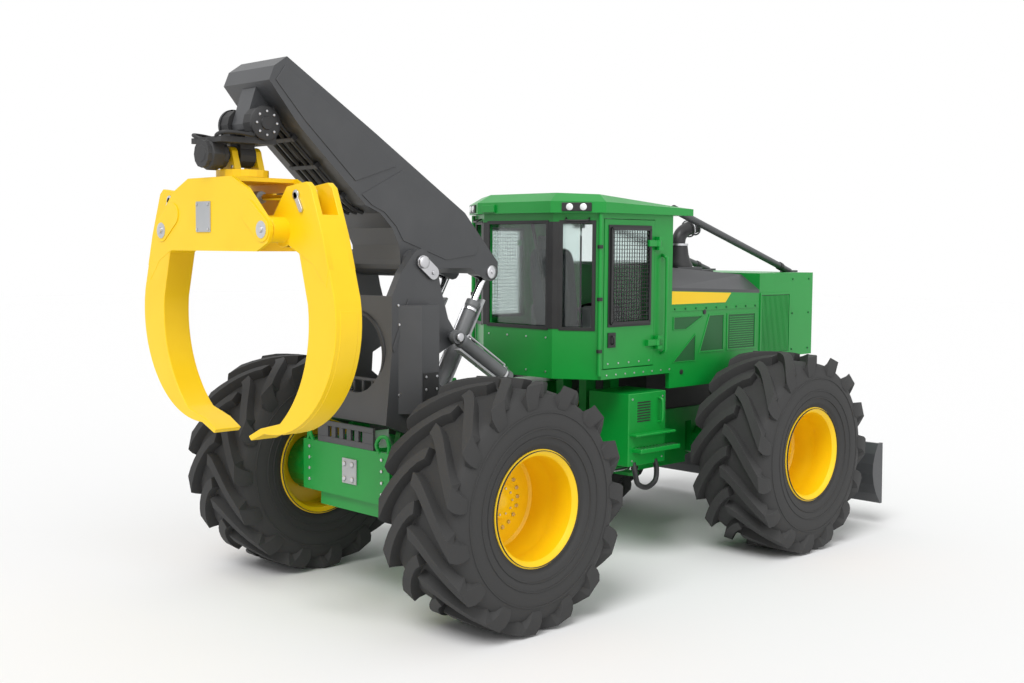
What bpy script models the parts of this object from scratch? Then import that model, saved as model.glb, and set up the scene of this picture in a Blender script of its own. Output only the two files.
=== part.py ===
"""Grapple skidder, articulated in the middle: metres, +X forward, +Y left, +Z up, ground at Z = 0.

Two work frames carry every size: the rear one has its origin at the middle of the rear axle, the
front one at the middle of the front axle. Both axles lie one tyre radius above the ground.
"""

import math

import bmesh
import bpy
import numpy as np
from mathutils import Matrix, Vector

# ---------------------------------------------------------------- driving sizes
WHEELBASE = 3.66
GAUGE = 2.64  # between the middle planes of the left and right wheels
TYRE_RADIUS = 0.935  # over the lugs
TYRE_SECTION = 0.775
TREAD_WIDTH = 0.736
RIM_RADIUS = 0.438  # over the flanges
RIM_SEAT_RADIUS = 0.406  # where the tyre's beads sit
RIM_WIDTH = 0.694  # over the flanges
RIM_PLATE = 0.022
WHEEL_DISC_INSET = 0.12  # of the wheel disc, inboard of the wheel's middle plane
HUB_RADIUS = 0.10

FRONT_REACH = 1.61  # of the blade, ahead of the front axle
REAR_REACH = 1.76  # of the crosshead, behind the rear axle
REAR_AXLE_X = -(WHEELBASE + FRONT_REACH - REAR_REACH) / 2  # centres the machine on the origin

FRAME_HALF = 0.38  # half widths of both chassis frames
NECK_HALF = 0.20
FRAME_TOP = 0.345  # above the axle line, as are all heights below
FRAME_BOTTOM = -0.20
AXLE_SEAT = 0.205
AXLE_TUBE_RADIUS = 0.15
NOTCH_HALF = 0.26
NECK_GAP = 0.25  # from the articulation pin to the end of either frame

PIN_RADIUS = 0.06  # articulation
TONGUE_RADIUS = 0.14
TONGUES = ((-0.18, -0.10), (0.20, 0.28))  # low and high face of each rear tongue
FORK_THICK = 0.055
FORK_GAP = 0.01

STEER_Y = 0.50
STEER_Z = -0.12
STEER_REAR = 0.80  # steering pins behind and ahead of the articulation
STEER_FRONT = 0.62

CAB_REAR = -2.243  # front work frame
CAB_CORNER = -2.01
CAB_FRONT = -1.04
CAB_HALF = 0.80
CAB_REAR_HALF = 0.436
CAB_BOTTOM = 0.765
CAB_TOP = 2.205
CAB_WALL = 0.05
DOOR_BACK, DOOR_FRONT = -1.99, -1.30
DOOR_LOW, DOOR_HIGH = 0.85, 2.16
DOOR_THICK = 0.045
GLASS_LOW, GLASS_HIGH = 1.20, 2.13
HINGE_X = DOOR_FRONT + 0.018  # of the doors, with the hinges' sizes
HINGE_Y = CAB_HALF + 0.03
HINGE_PIN = 0.012
HINGE_EYE = 0.024
HINGE_TALL = 0.06
ROOF_LIP = 0.06
ROOF_FRONT = -0.82
ROOF_RIM = 0.10
ROOF_CROWN = (2.39, 2.28)  # at the rear and at the front

HOOD_HALF = 0.78
HOOD_SHEET = 0.04
HOOD_SIDE_LOW = 0.62
HOOD_SIDE_TOP = (1.517, 1.47)  # at the cab and at the cooling box
HOOD_CREST = (1.745, 1.65)
HOOD_CREST_HALF = 0.56
COOLER_REAR, COOLER_FRONT = 0.38, 1.345
COOLER_LOW, COOLER_TOP = 0.815, 1.665
PEDESTAL_HALF = 0.24
EXHAUST = (-0.42, -0.38)  # x, y of the stack
NOSE = 0.98  # front end of the front frame

BLADE_HALF = 1.50
BLADE_PIN = (0.64, 0.0)  # x, z in the front work frame
BLADE_TOP = (1.505, -0.076)
BLADE_BELLY = (1.41, -0.39)
BLADE_EDGE = (1.575, -0.705)
BLADE_PLATE = 0.035
BLADE_ARM_Y = 0.45
BLADE_CYL_Y = 0.30
BLADE_CYL_TOP = (1.05, 0.65)
BLADE_CYL_EYE = (1.33, -0.30)

ARCH_PIN = (-0.12, 0.485)  # rear work frame from here on
ARCH_INNER, ARCH_OUTER = 0.35, 0.42
ARCH_REAR = -0.361
FAIRLEAD_Z = 1.056
FAIRLEAD_RADIUS = 0.315
ARCH_CYL_Y = 0.50
ARCH_CYL_PIN = (0.24, 1.185)
ARCH_CYL_EYE = (1.06, 0.66)

BOOM_PIN = (-0.063, 1.784)
BOOM_HALF = 0.30
BOOM_CYL_Y = 0.235
BOOM_CYL_PIN = (0.22, 0.665)
BOOM_CYL_EYE = (0.81, 1.697)

CROSS_PIN = (-1.36, 2.785)  # upper hinge of the crosshead
SWING_Z = 2.555  # lower hinge of the crosshead, along X
GRAPPLE_X = -1.42
HEAD_DEPTH_HALF = 0.28
HEAD_PLATE = 0.025
HEAD_TOP, HEAD_LOW = 2.39, 1.865
TONG_PIN = (0.673, 2.014)  # |y|, z
TONG_HALF = 0.11
TONG_CYL_PIN = (0.841, 2.25)
TONG_BARREL, TONG_RAM = 0.045, 0.025
SPIGOT_RADIUS = 0.075
SMALL_BARREL, SMALL_RAM = 0.045, 0.025  # blade and steering cylinders
LARGE_BARREL, LARGE_RAM = 0.055, 0.032  # boom and arch cylinders
BOOM_CYL_CLOSING = 0.03  # how far each rod can still go in from the modelled stroke
ARCH_CYL_CLOSING = 0.04
BLADE_CYL_CLOSING = 0.33
STEER_CYL_CLOSING = 0.365
CYLINDER_HEAD = 0.03  # solid end of a barrel, past its eye

CLEAR = 0.0003  # between pieces that touch
RUNNING = 0.008  # between pieces that move past one another
SIDES = 12
PIN_SIDES = 24
WHEEL_SIDES = 28
EYE_RADIUS = 0.055
EYE_WIDTH = 0.05
EYE_PIN = 0.03
CLEVIS_GAP = 0.01  # each side of a rod's eye
CLEVIS_PLATE = 0.015

# name: red, green, blue, roughness, metallic
FINISHES = {
    "green_paint": (0.03, 0.33, 0.06, 0.35, 0.0),
    "yellow_paint": (0.95, 0.62, 0.02, 0.35, 0.0),
    "dark_paint": (0.06, 0.065, 0.07, 0.45, 0.0),
    "cast_black": (0.03, 0.03, 0.033, 0.55, 0.0),
    "chrome": (0.80, 0.81, 0.83, 0.15, 1.0),
    "tyre_rubber": (0.022, 0.022, 0.024, 0.85, 0.0),
    "glass": (0.10, 0.12, 0.12, 0.05, 0.0),
    "steel_grey": (0.30, 0.31, 0.32, 0.45, 0.6),
    "seat_black": (0.03, 0.03, 0.03, 0.80, 0.0),
}


# ---------------------------------------------------------------- making shapes
def clear_scene():
    for thing in list(bpy.data.objects):
        bpy.data.objects.remove(thing, do_unlink=True)


def finish(name):
    """The named material, made once."""
    if name in bpy.data.materials:
        return bpy.data.materials[name]
    red, green, blue, roughness, metallic = FINISHES[name]
    made = bpy.data.materials.new(name)
    made.use_nodes = True
    shader = made.node_tree.nodes["Principled BSDF"]
    shader.inputs["Base Color"].default_value = (red, green, blue, 1.0)
    shader.inputs["Roughness"].default_value = roughness
    shader.inputs["Metallic"].default_value = metallic
    made.diffuse_color = (red, green, blue, 1.0)
    return made


def mesh_of(verts, faces):
    """A mesh with its faces turned outwards."""
    made = bpy.data.meshes.new("shape")
    made.from_pydata([tuple(v) for v in verts], [], faces)
    work = bmesh.new()
    work.from_mesh(made)
    bmesh.ops.recalc_face_normals(work, faces=work.faces)
    work.to_mesh(made)
    work.free()
    return made


def box(x, y, z):
    """A box from three (low, high) pairs."""
    verts = [(a, b, c) for a in x for b in y for c in z]
    faces = [(0, 1, 3, 2), (4, 6, 7, 5), (0, 4, 5, 1), (2, 3, 7, 6), (0, 2, 6, 4), (1, 5, 7, 3)]
    return mesh_of(verts, faces)


def prism(outline, axis, low, high):
    """An outline pushed along axis: (x, z) outlines go along Y, (x, y) along Z, (y, z) along X."""
    put = {"X": lambda p, t: (t, *p), "Y": lambda p, t: (p[0], t, p[1]), "Z": lambda p, t: (*p, t)}[axis]
    count = len(outline)
    verts = [put(p, low) for p in outline] + [put(p, high) for p in outline]
    faces = [tuple(range(count)), tuple(range(2 * count - 1, count - 1, -1))]
    faces += [(i, (i + 1) % count, (i + 1) % count + count, i + count) for i in range(count)]
    return mesh_of(verts, faces)


def rod(start, end, radius, sides=SIDES, end_radius=None):
    """A round bar or cone between two points."""
    start, end = Vector(start), Vector(end)
    along = end - start
    turn = along.to_track_quat("Z", "Y").to_matrix().to_4x4()
    last = radius if end_radius is None else end_radius
    angles = [math.tau * i / sides for i in range(sides)]
    ring = [(math.cos(a), math.sin(a)) for a in angles]
    verts = [(c * radius, s * radius, 0) for c, s in ring]
    verts += [(c * last, s * last, along.length) for c, s in ring]
    faces = [tuple(range(sides)), tuple(range(2 * sides - 1, sides - 1, -1))]
    faces += [(i, (i + 1) % sides, (i + 1) % sides + sides, i + sides) for i in range(sides)]
    made = mesh_of(verts, faces)
    made.transform(Matrix.Translation(start) @ turn)
    return made


def pin(start, end, radius):
    return rod(start, end, radius, PIN_SIDES)


def bore(start, end, radius):
    """A cutter in which a pin of this radius turns freely."""
    return rod(start, end, bore_radius(radius), PIN_SIDES)


def bore_radius(radius, sides=PIN_SIDES):
    """Corner radius of a bore whose flats clear the corners of a pin of this radius."""
    return (radius + CLEAR) / math.cos(math.pi / sides)


def pipe(points, radius, sides=10):
    """A round bar bent along points, mitred at each bend."""
    points = [Vector(p) for p in points]
    verts, faces = [], []
    reference = Vector((0, 1, 0))
    for i, point in enumerate(points):
        before = (point - points[i - 1]).normalized() if i else None
        after = (points[i + 1] - point).normalized() if i + 1 < len(points) else None
        along = ((before or after) + (after or before)).normalized()
        side = (reference - along * reference.dot(along)).normalized()
        up = along.cross(side)
        stretch = 1 / max(along.dot(before or after), 0.5)
        for k in range(sides):
            a = math.tau * k / sides
            verts.append(point + side * radius * math.cos(a) + up * radius * stretch * math.sin(a))
    for i in range(len(points) - 1):
        for k in range(sides):
            low, high = i * sides, (i + 1) * sides
            faces.append((low + k, low + (k + 1) % sides, high + (k + 1) % sides, high + k))
    faces += [tuple(range(sides)), tuple(range(len(verts) - 1, len(verts) - sides - 1, -1))]
    return mesh_of(verts, faces)


def turned(profile, sides=WHEEL_SIDES):
    """A closed (radius, y) profile turned about the Y axis, one flat straight down."""
    verts, faces = [], []
    count = len(profile)
    for k in range(sides):
        a = math.tau * (k + 0.5) / sides
        verts += [(r * math.sin(a), y, -r * math.cos(a)) for r, y in profile]
    for k in range(sides):
        low, high = k * count, (k + 1) % sides * count
        for i in range(count):
            j = (i + 1) % count
            faces.append((low + i, low + j, high + j, high + i))
    return mesh_of(verts, faces)


def arc(centre, radius, first, last, steps):
    """Points of an arc, in degrees, from first to last."""
    angles = np.radians(np.linspace(first, last, steps + 1))
    return [(centre[0] + radius * math.cos(a), centre[1] + radius * math.sin(a)) for a in angles]


def moved(mesh, offset):
    made = mesh.copy()
    made.transform(Matrix.Translation(offset))
    return made


def mirrored(mesh):
    """The same shape on the other side of the machine's middle plane."""
    made = mesh.copy()
    made.transform(Matrix.Diagonal((1, -1, 1, 1)))
    made.flip_normals()
    return made


def both(mesh):
    return [mesh, mirrored(mesh)]


def joined(solids, cuts=()):
    """One closed mesh: the union of solids, with cuts taken out of it."""
    scene = bpy.context.scene.collection
    helpers = []

    def helper(mesh):
        made = bpy.data.objects.new("helper", mesh)
        scene.objects.link(made)
        helpers.append(made)
        return made

    base = helper(solids[0])
    steps = [("UNION", s) for s in solids[1:]] + [("DIFFERENCE", c) for c in cuts]
    for operation, other in steps:
        step = base.modifiers.new(operation.title(), "BOOLEAN")
        step.operation, step.solver, step.object = operation, "EXACT", helper(other)
    bpy.context.view_layer.update()
    graph = bpy.context.evaluated_depsgraph_get()
    made = bpy.data.meshes.new_from_object(base.evaluated_get(graph))
    for thing in helpers:
        bpy.data.objects.remove(thing, do_unlink=True)
    return made


class Machine:
    """Places pieces in the two work frames and keeps each moving piece's origin on its joint."""

    def __init__(self):
        self.frames = {}
        for name, x in (("rear", REAR_AXLE_X), ("front", REAR_AXLE_X + WHEELBASE)):
            empty = bpy.data.objects.new(name + "_axle_centre", None)
            empty.location = (x, 0, TYRE_RADIUS)
            bpy.context.scene.collection.objects.link(empty)
            self.frames[name] = empty
        bpy.context.view_layer.update()

    def add(self, frame, name, mesh, material, pivot=(0, 0, 0)):
        """Adds a piece modelled in a work frame, with its origin at pivot in that frame."""
        mesh.transform(Matrix.Translation(-Vector(pivot)))
        mesh.name = name
        mesh.materials.clear()
        mesh.materials.append(finish(material))
        made = bpy.data.objects.new(name, mesh)
        bpy.context.scene.collection.objects.link(made)
        made.parent = self.frames[frame]
        made.location = pivot
        mesh.shade_smooth()
        mesh.set_sharp_from_angle(angle=math.radians(35))
        return made

    def add_pair(self, frame, name, left_mesh, material, pivot=(0, 0, 0)):
        """Adds a left piece and its mirror image on the right."""
        x, y, z = pivot
        self.add(frame, name.format("right"), mirrored(left_mesh), material, (x, -y, z))
        self.add(frame, name.format("left"), left_mesh, material, pivot)


# ---------------------------------------------------------------- wheels and axles
def tyre_mesh():
    inner = RIM_SEAT_RADIUS + CLEAR
    wall = RIM_WIDTH / 2 - RIM_PLATE - CLEAR
    tread = TYRE_RADIUS / math.cos(math.pi / WHEEL_SIDES)  # its flats stand on the ground
    half = [
        (inner, wall),
        (RIM_RADIUS + 0.01, wall),
        ((RIM_RADIUS + TYRE_RADIUS) / 2 - 0.04, TYRE_SECTION / 2),
        (TYRE_RADIUS - 0.07, TREAD_WIDTH / 2),
        (tread, TREAD_WIDTH / 2 - 0.06),
    ]
    return turned(half + [(r, -y) for r, y in reversed(half)])


def rim_mesh(side):
    """side is +1 for a left wheel, -1 for a right one; the disc lies inboard."""
    flange = RIM_WIDTH / 2
    seat = flange - RIM_PLATE
    inner = RIM_SEAT_RADIUS - RIM_PLATE
    disc = -side * WHEEL_DISC_INSET
    bore = bore_radius(HUB_RADIUS, WHEEL_SIDES)
    profile = [
        (RIM_RADIUS, flange), (RIM_RADIUS, seat), (RIM_SEAT_RADIUS, seat),
        (RIM_SEAT_RADIUS, -seat), (RIM_RADIUS, -seat), (RIM_RADIUS, -flange), (inner, -flange),
        (inner, disc - RIM_PLATE / 2), (bore, disc - RIM_PLATE / 2),
        (bore, disc + RIM_PLATE / 2), (inner, disc + RIM_PLATE / 2), (inner, flange),
    ]
    return turned(profile)


def axle_mesh():
    """Axle housing with its drive casing, two mounting pads and a hub at each end."""
    disc = GAUGE / 2 - WHEEL_DISC_INSET
    shapes = [rod((0, -disc + 0.2, 0), (0, disc - 0.2, 0), AXLE_TUBE_RADIUS)]
    shapes.append(rod((0, -0.17, 0), (0, 0.17, 0), 0.195))
    pad_top = AXLE_SEAT - CLEAR
    shapes += both(box((-0.16, 0.16), (0.20, FRAME_HALF - 0.01), (-0.10, pad_top)))
    for side in (-1, 1):
        drum = rod((0, side * (disc - 0.26), 0), (0, side * (disc - 0.03), 0), 0.24, 24)
        hub = turned_disc(HUB_RADIUS, side * (disc - 0.08), side * (disc + 0.06))
        shapes += [drum, hub]
    return joined(shapes)


def turned_disc(radius, start, end):
    """A round bar about the Y axis whose corners line up with those of a turned bore."""
    angles = [math.tau * (k + 0.5) / WHEEL_SIDES for k in range(WHEEL_SIDES)]
    outline = [(radius * math.sin(a), -radius * math.cos(a)) for a in angles]
    return prism(outline, "Y", min(start, end), max(start, end))


def build_wheels(machine):
    for frame in ("front", "rear"):
        for side, label in ((1, "left"), (-1, "right")):
            pivot = (0, side * GAUGE / 2, 0)
            name = f"{frame}_{label}"
            machine.add(frame, "tyre_" + name, moved(tyre_mesh(), pivot), "tyre_rubber", pivot)
            machine.add(frame, "rim_" + name, moved(rim_mesh(side), pivot), "yellow_paint", pivot)
        machine.add(frame, frame + "_axle", axle_mesh(), "green_paint")


# ---------------------------------------------------------------- cylinders
def cylinder_pair(base, eye, y, barrel_radius, rod_radius, barrel_share, closing, side_axis="Y"):
    """Barrel and rod meshes between two pins.

    base and eye are (x, z) for pins along Y at this y, or (x, y) with y read as z for pins along Z.
    barrel_share is the barrel's length as a share of the pin distance, and closing is how far the
    rod can still go in from here.
    """
    def at(p, across):
        return Vector((p[0], across, p[1])) if side_axis == "Y" else Vector((p[0], p[1], across))

    start, end = at(base, y), at(eye, y)
    along = (end - start).normalized()
    length = (end - start).length
    mouth = start + along * length * barrel_share
    eye_half = EYE_WIDTH / 2

    def ring(p):
        return rod(at(p, y - eye_half), at(p, y + eye_half), EYE_RADIUS)

    inner_end = start + along * (EYE_RADIUS + CYLINDER_HEAD)
    piston = inner_end + along * (closing + RUNNING)
    pin_bore = bore(at(base, y - 0.1), at(base, y + 0.1), EYE_PIN)
    barrel = joined(
        [rod(start + along * 0.045, mouth, barrel_radius), ring(base)],
        [rod(inner_end - along * 0.02, mouth + along * 0.05, rod_radius + CLEAR), pin_bore],
    )
    ram = joined([rod(piston, end - along * 0.045, rod_radius), ring(eye)])
    return barrel, ram


def pin_stub(frame_point, inner, outer, radius=EYE_PIN):
    """A pin along Y from inner to outer, for a barrel's eye."""
    x, z = frame_point
    return pin((x, inner, z), (x, outer, z), radius)


def clevis_plates(eye, y, reach):
    """The two plates either side of a rod's eye; reach is an (x, z) outline joined to the frame."""
    near = y - EYE_WIDTH / 2 - CLEVIS_GAP
    far = y + EYE_WIDTH / 2 + CLEVIS_GAP
    return [prism(reach, "Y", near - CLEVIS_PLATE, near), prism(reach, "Y", far, far + CLEVIS_PLATE)]


def build_cylinders(machine):
    steer_x = WHEELBASE / 2 - STEER_REAR
    steer_end = WHEELBASE / 2 + STEER_FRONT
    rows = [
        # name, frame, base, eye, y, barrel radius, rod radius, barrel share, closing
        ("boom_cylinder", "rear", BOOM_CYL_PIN, BOOM_CYL_EYE, BOOM_CYL_Y, LARGE_BARREL, LARGE_RAM, 0.76,
         BOOM_CYL_CLOSING),
        ("arch_cylinder", "rear", ARCH_CYL_PIN, ARCH_CYL_EYE, ARCH_CYL_Y, LARGE_BARREL, LARGE_RAM, 0.70,
         ARCH_CYL_CLOSING),
        ("blade_cylinder", "front", BLADE_CYL_TOP, BLADE_CYL_EYE, BLADE_CYL_Y, SMALL_BARREL, SMALL_RAM,
         0.58, BLADE_CYL_CLOSING),
    ]
    for name, frame, base, eye, y, barrel_radius, rod_radius, share, closing in rows:
        barrel, ram = cylinder_pair(base, eye, y, barrel_radius, rod_radius, share, closing)
        machine.add_pair(frame, name + "_barrel_{}", barrel, "dark_paint", (base[0], y, base[1]))
        machine.add_pair(frame, name + "_rod_{}", ram, "chrome", (base[0], y, base[1]))
    barrel, ram = cylinder_pair((steer_x, STEER_Y), (steer_end, STEER_Y), STEER_Z, SMALL_BARREL, SMALL_RAM,
                                0.60, STEER_CYL_CLOSING, "Z")
    pivot = (steer_x, STEER_Y, STEER_Z)
    machine.add_pair("rear", "steering_cylinder_barrel_{}", barrel, "dark_paint", pivot)
    machine.add_pair("rear", "steering_cylinder_rod_{}", ram, "chrome", pivot)


# ---------------------------------------------------------------- rear half
def plan_frame(neck_end, neck_start, shoulder, far_end):
    """Half-symmetric plan of a chassis frame, narrow at the articulation."""
    half = [(neck_end, NECK_HALF), (neck_start, NECK_HALF), (shoulder, FRAME_HALF), (far_end, FRAME_HALF)]
    return half + [(x, -y) for x, y in reversed(half)]


def tongue(centre_x, root_x, low, high, radius=TONGUE_RADIUS):
    """A plate with a round end about the articulation pin."""
    facing = 0 if centre_x > root_x else 180
    outline = arc((centre_x, 0), radius, facing - 90, facing + 90, 8)
    outline += [(root_x, -outline[0][1]), (root_x, outline[0][1])]
    return prism(outline, "Z", low, high)


def rear_frame_mesh():
    pin_x = WHEELBASE / 2
    neck_end = pin_x - NECK_GAP
    plan = plan_frame(neck_end, neck_end - 0.33, neck_end - 0.60, -0.455)
    shapes = [prism(plan, "Z", FRAME_BOTTOM, FRAME_TOP)]
    shapes += [tongue(pin_x, neck_end - 0.1, low, high) for low, high in TONGUES]
    ear_x, ear_z = ARCH_PIN
    ear = [(ear_x - 0.13, FRAME_TOP - 0.05), (ear_x - 0.07, ear_z)]
    ear += arc(ARCH_PIN, 0.07, 150, 30, 4) + [(ear_x + 0.07, ear_z), (ear_x + 0.13, FRAME_TOP - 0.05)]
    ear_outer = ARCH_INNER - RUNNING
    shapes += both(prism(ear, "Y", ear_outer - 0.06, ear_outer))
    shapes += both(pin_stub(ARCH_PIN, ear_outer - 0.03, ARCH_OUTER + 0.01, 0.045))
    # clevises for the arch cylinders, on outriggers
    eye_x, eye_z = ARCH_CYL_EYE
    outrigger_outer = ARCH_CYL_Y + EYE_WIDTH / 2 + CLEVIS_GAP + CLEVIS_PLATE
    shapes += both(box((eye_x - 0.12, eye_x + 0.06), (0.15, outrigger_outer), (0.22, FRAME_TOP)))
    reach = [(eye_x - 0.12, 0.24), (eye_x + 0.06, 0.24), (eye_x + 0.06, eye_z), (eye_x + 0.03, eye_z + 0.065),
             (eye_x - 0.03, eye_z + 0.065), (eye_x - 0.06, eye_z)]
    for plate in clevis_plates(ARCH_CYL_EYE, ARCH_CYL_Y, reach):
        shapes += both(plate)
    # steering pins stand on lugs below the barrels' eyes
    steer_x = pin_x - STEER_REAR
    lug_top = STEER_Z - SMALL_BARREL - RUNNING
    lug = [(steer_x, 0.25), *arc((steer_x, STEER_Y), 0.06, -90, 90, 4)]
    lug += [(steer_x - 0.16, STEER_Y + 0.06), (steer_x - 0.16, 0.3)]
    shapes += both(prism(lug, "Z", lug_top - 0.03, lug_top))
    shapes += both(pin((steer_x, STEER_Y, lug_top - 0.02), (steer_x, STEER_Y, STEER_Z + 0.04), EYE_PIN))
    cuts = [box((-NOTCH_HALF, NOTCH_HALF), (-1, 1), (-1, AXLE_SEAT))]
    cuts += [bore((pin_x, 0, low - 0.02), (pin_x, 0, high + 0.02), PIN_RADIUS) for low, high in TONGUES]
    return joined(shapes, cuts)


def bumper_mesh():
    plate = box((-0.50, -0.455 - CLEAR), (-0.56, 0.56), (-0.085, 0.325))
    wings = both(prism([(-0.50, -0.085), (-0.46, -0.085), (-0.40, 0.02), (-0.40, 0.325), (-0.50, 0.325)],
                       "Y", 0.52, 0.56))
    return joined([plate, *wings])


def winch_mesh():
    base_z = FRAME_TOP + CLEAR
    foot = [(0.08, base_z), (0.56, base_z)]
    plate = [*foot, (0.50, 0.70), (0.38, 0.82), (0.22, 0.82), (0.10, 0.66)]
    plates = both(prism(plate, "Y", 0.135, 0.165))
    drum = rod((0.31, -0.15, 0.60), (0.31, 0.15, 0.60), 0.15, 20)
    foot = box((0.08, 0.56), (-0.15, 0.15), (base_z, base_z + 0.04))
    return joined([*plates, drum, foot])


def arch_mesh():
    x, z = ARCH_PIN
    cyl_x, cyl_z = ARCH_CYL_PIN
    base_x, base_z = BOOM_CYL_PIN
    outline = arc(ARCH_PIN, 0.09, 220, 320, 4)
    outline += [(x + 0.16, z + 0.02), (base_x, base_z - 0.06)]
    outline += arc(BOOM_CYL_PIN, 0.06, -60, 60, 3) + [(0.05, base_z + 0.2), (0.06, 1.02)]
    outline += arc(ARCH_CYL_PIN, 0.075, -90, 60, 4)
    outline += [(0.22, 1.33), (0.14, 1.58), (0.12, 1.67)]
    outline += arc(BOOM_PIN, 0.105, 40, 140, 4)
    outline += [(-0.27, 1.70), (ARCH_REAR, 1.52), (ARCH_REAR, 1.08), (-0.42, 0.52)]
    shapes = both(prism(outline, "Y", ARCH_INNER, ARCH_OUTER))
    rear = [(-0.42, 0.52), (-0.38, 0.50), (ARCH_REAR + 0.04, 1.08), (ARCH_REAR + 0.04, 1.52),
            (ARCH_REAR, 1.52), (ARCH_REAR, 1.08)]
    shapes.append(prism(rear, "Y", -ARCH_INNER - 0.02, ARCH_INNER + 0.02))
    casing = [(ARCH_REAR, ARCH_INNER + 0.02), (-0.15, 0.53), (0.03, 0.53), (0.03, ARCH_INNER + 0.02)]
    shapes += both(prism(casing, "Z", 0.60, 1.45))
    shapes += both(pin_stub(ARCH_CYL_PIN, ARCH_OUTER - 0.02, ARCH_CYL_Y + 0.04))
    shapes += both(pin_stub(BOOM_CYL_PIN, BOOM_CYL_Y - 0.04, ARCH_INNER + 0.02))
    shapes += both(pin_stub(BOOM_PIN, BOOM_HALF - 0.10, ARCH_OUTER + 0.01, 0.05))
    cuts = both(bore((x, 0.2, z), (x, 0.6, z), 0.045))
    cuts.append(rod((-0.6, 0, FAIRLEAD_Z), (-0.2, 0, FAIRLEAD_Z), FAIRLEAD_RADIUS, 24))
    return joined(shapes, cuts)


def boom_mesh():
    px, pz = BOOM_PIN
    ex, ez = BOOM_CYL_EYE
    outline = [(-1.231, 3.265), (-1.34, 3.19), (-1.385, 3.085), (-1.12, 2.77), (-0.52, 2.22), (-0.38, 2.163),
               (-0.26, 2.05), (-0.19, 1.917)]
    outline += arc(BOOM_PIN, 0.115, 170, 270, 5)
    outline += [(0.29, 1.734), (0.58, 1.731), (0.66, ez - 0.02)]
    outline += arc(BOOM_CYL_EYE, 0.075, 240, 360, 4)
    outline += [(0.885, 1.78), (0.508, 2.184), (-0.43, 2.775)]
    body = prism(outline, "Y", -BOOM_HALF, BOOM_HALF)
    boss = rod((px, -ARCH_INNER + RUNNING, pz), (px, ARCH_INNER - RUNNING, pz), 0.10)
    cross_x, cross_z = CROSS_PIN
    lug = [(-1.36, 3.05), (cross_x - 0.09, cross_z)] + arc(CROSS_PIN, 0.09, 180, 340, 6) + [(-1.10, 2.90)]
    hanger = prism(lug, "Y", -0.09, 0.09)
    cross_pin = pin((cross_x, -0.19, cross_z), (cross_x, 0.19, cross_z), 0.045)
    cuts = both(bore((px, BOOM_HALF - 0.11, pz), (px, 0.5, pz), 0.05))
    slot = BOOM_CYL_Y - EYE_WIDTH / 2 - CLEVIS_GAP, BOOM_CYL_Y + EYE_WIDTH / 2 + CLEVIS_GAP
    cuts += both(box((ex - 0.12, ex + 0.2), slot, (1.4, ez + 0.11)))
    cuts.append(box((ex - 0.16, ex + 0.2), (-slot[0] + 0.02, slot[0] - 0.02), (1.4, ez + 0.11)))
    return joined([body, boss, hanger, cross_pin], cuts)


# ---------------------------------------------------------------- grapple
def crosshead_mesh():
    x, z = CROSS_PIN
    cheek = rod((x, 0.10, z), (x, 0.20, z), 0.12)
    web = box((x - 0.10, x + 0.10), (0.10, 0.20), (z - 0.15, z - 0.03))
    bridge_top = z - 0.09 - 0.02
    bridge = box((-1.72, x + 0.10), (-0.20, 0.20), (bridge_top - 0.04, bridge_top))
    neck = box((GRAPPLE_X - 0.06, GRAPPLE_X + 0.06), (-0.07, 0.07), (SWING_Z, bridge_top - 0.02))
    sleeve = rod((GRAPPLE_X - 0.065, 0, SWING_Z), (GRAPPLE_X + 0.065, 0, SWING_Z), 0.085)
    shaft = pin((-1.62, 0, SWING_Z), (GRAPPLE_X + 0.14, 0, SWING_Z), 0.04)
    cap = rod((-1.76, 0, SWING_Z), (-1.59, 0, SWING_Z), 0.10)
    arm = box((-1.72, -1.60), (-0.07, 0.07), (SWING_Z, bridge_top - 0.02))
    cuts = both(bore((x, 0.05, z), (x, 0.25, z), 0.045))
    return joined([bridge, *both(cheek), *both(web), neck, sleeve, shaft, cap, arm], cuts)


def rotator_mesh():
    ear = [(-0.11, 2.43), (0.11, 2.43)] + arc((0, SWING_Z), 0.065, 0, 180, 6)
    ears = [prism(ear, "X", GRAPPLE_X + low, GRAPPLE_X + low + 0.05) for low in (-0.125, 0.075)]
    disc = rod((GRAPPLE_X, 0, HEAD_TOP + RUNNING), (GRAPPLE_X, 0, 2.45), 0.19, 20)
    spigot = pin((GRAPPLE_X, 0, HEAD_TOP - 0.03), (GRAPPLE_X, 0, 2.44), SPIGOT_RADIUS)
    swing_bore = bore((GRAPPLE_X - 0.3, 0, SWING_Z), (GRAPPLE_X + 0.3, 0, SWING_Z), 0.04)
    return joined([disc, spigot, *ears], [swing_bore])


def head_mesh():
    py, pz = TONG_PIN
    right = [(0.60, HEAD_LOW), (py + 0.06, pz - 0.09)] + arc(TONG_PIN, 0.10, -30, 60, 4)
    right += [(0.50, 2.30), (0.289, HEAD_TOP)]
    outline = right + [(-y, z) for y, z in reversed(right)]
    near = HEAD_DEPTH_HALF - HEAD_PLATE
    plates = [prism(outline, "X", GRAPPLE_X - HEAD_DEPTH_HALF, GRAPPLE_X - near),
              prism(outline, "X", GRAPPLE_X + near, GRAPPLE_X + HEAD_DEPTH_HALF)]
    span = (GRAPPLE_X - near - 0.01, GRAPPLE_X + near + 0.01)
    top = box(span, (-0.28, 0.28), (HEAD_TOP - 0.03, HEAD_TOP))
    web = box(span, (-0.40, 0.40), (HEAD_LOW, 2.12))
    pins = both(pin((span[0], py, pz), (span[1], py, pz), 0.045))
    hole = bore((GRAPPLE_X, 0, 2.2), (GRAPPLE_X, 0, 2.5), SPIGOT_RADIUS)
    return joined([*plates, top, web, *pins], [hole])


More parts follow.
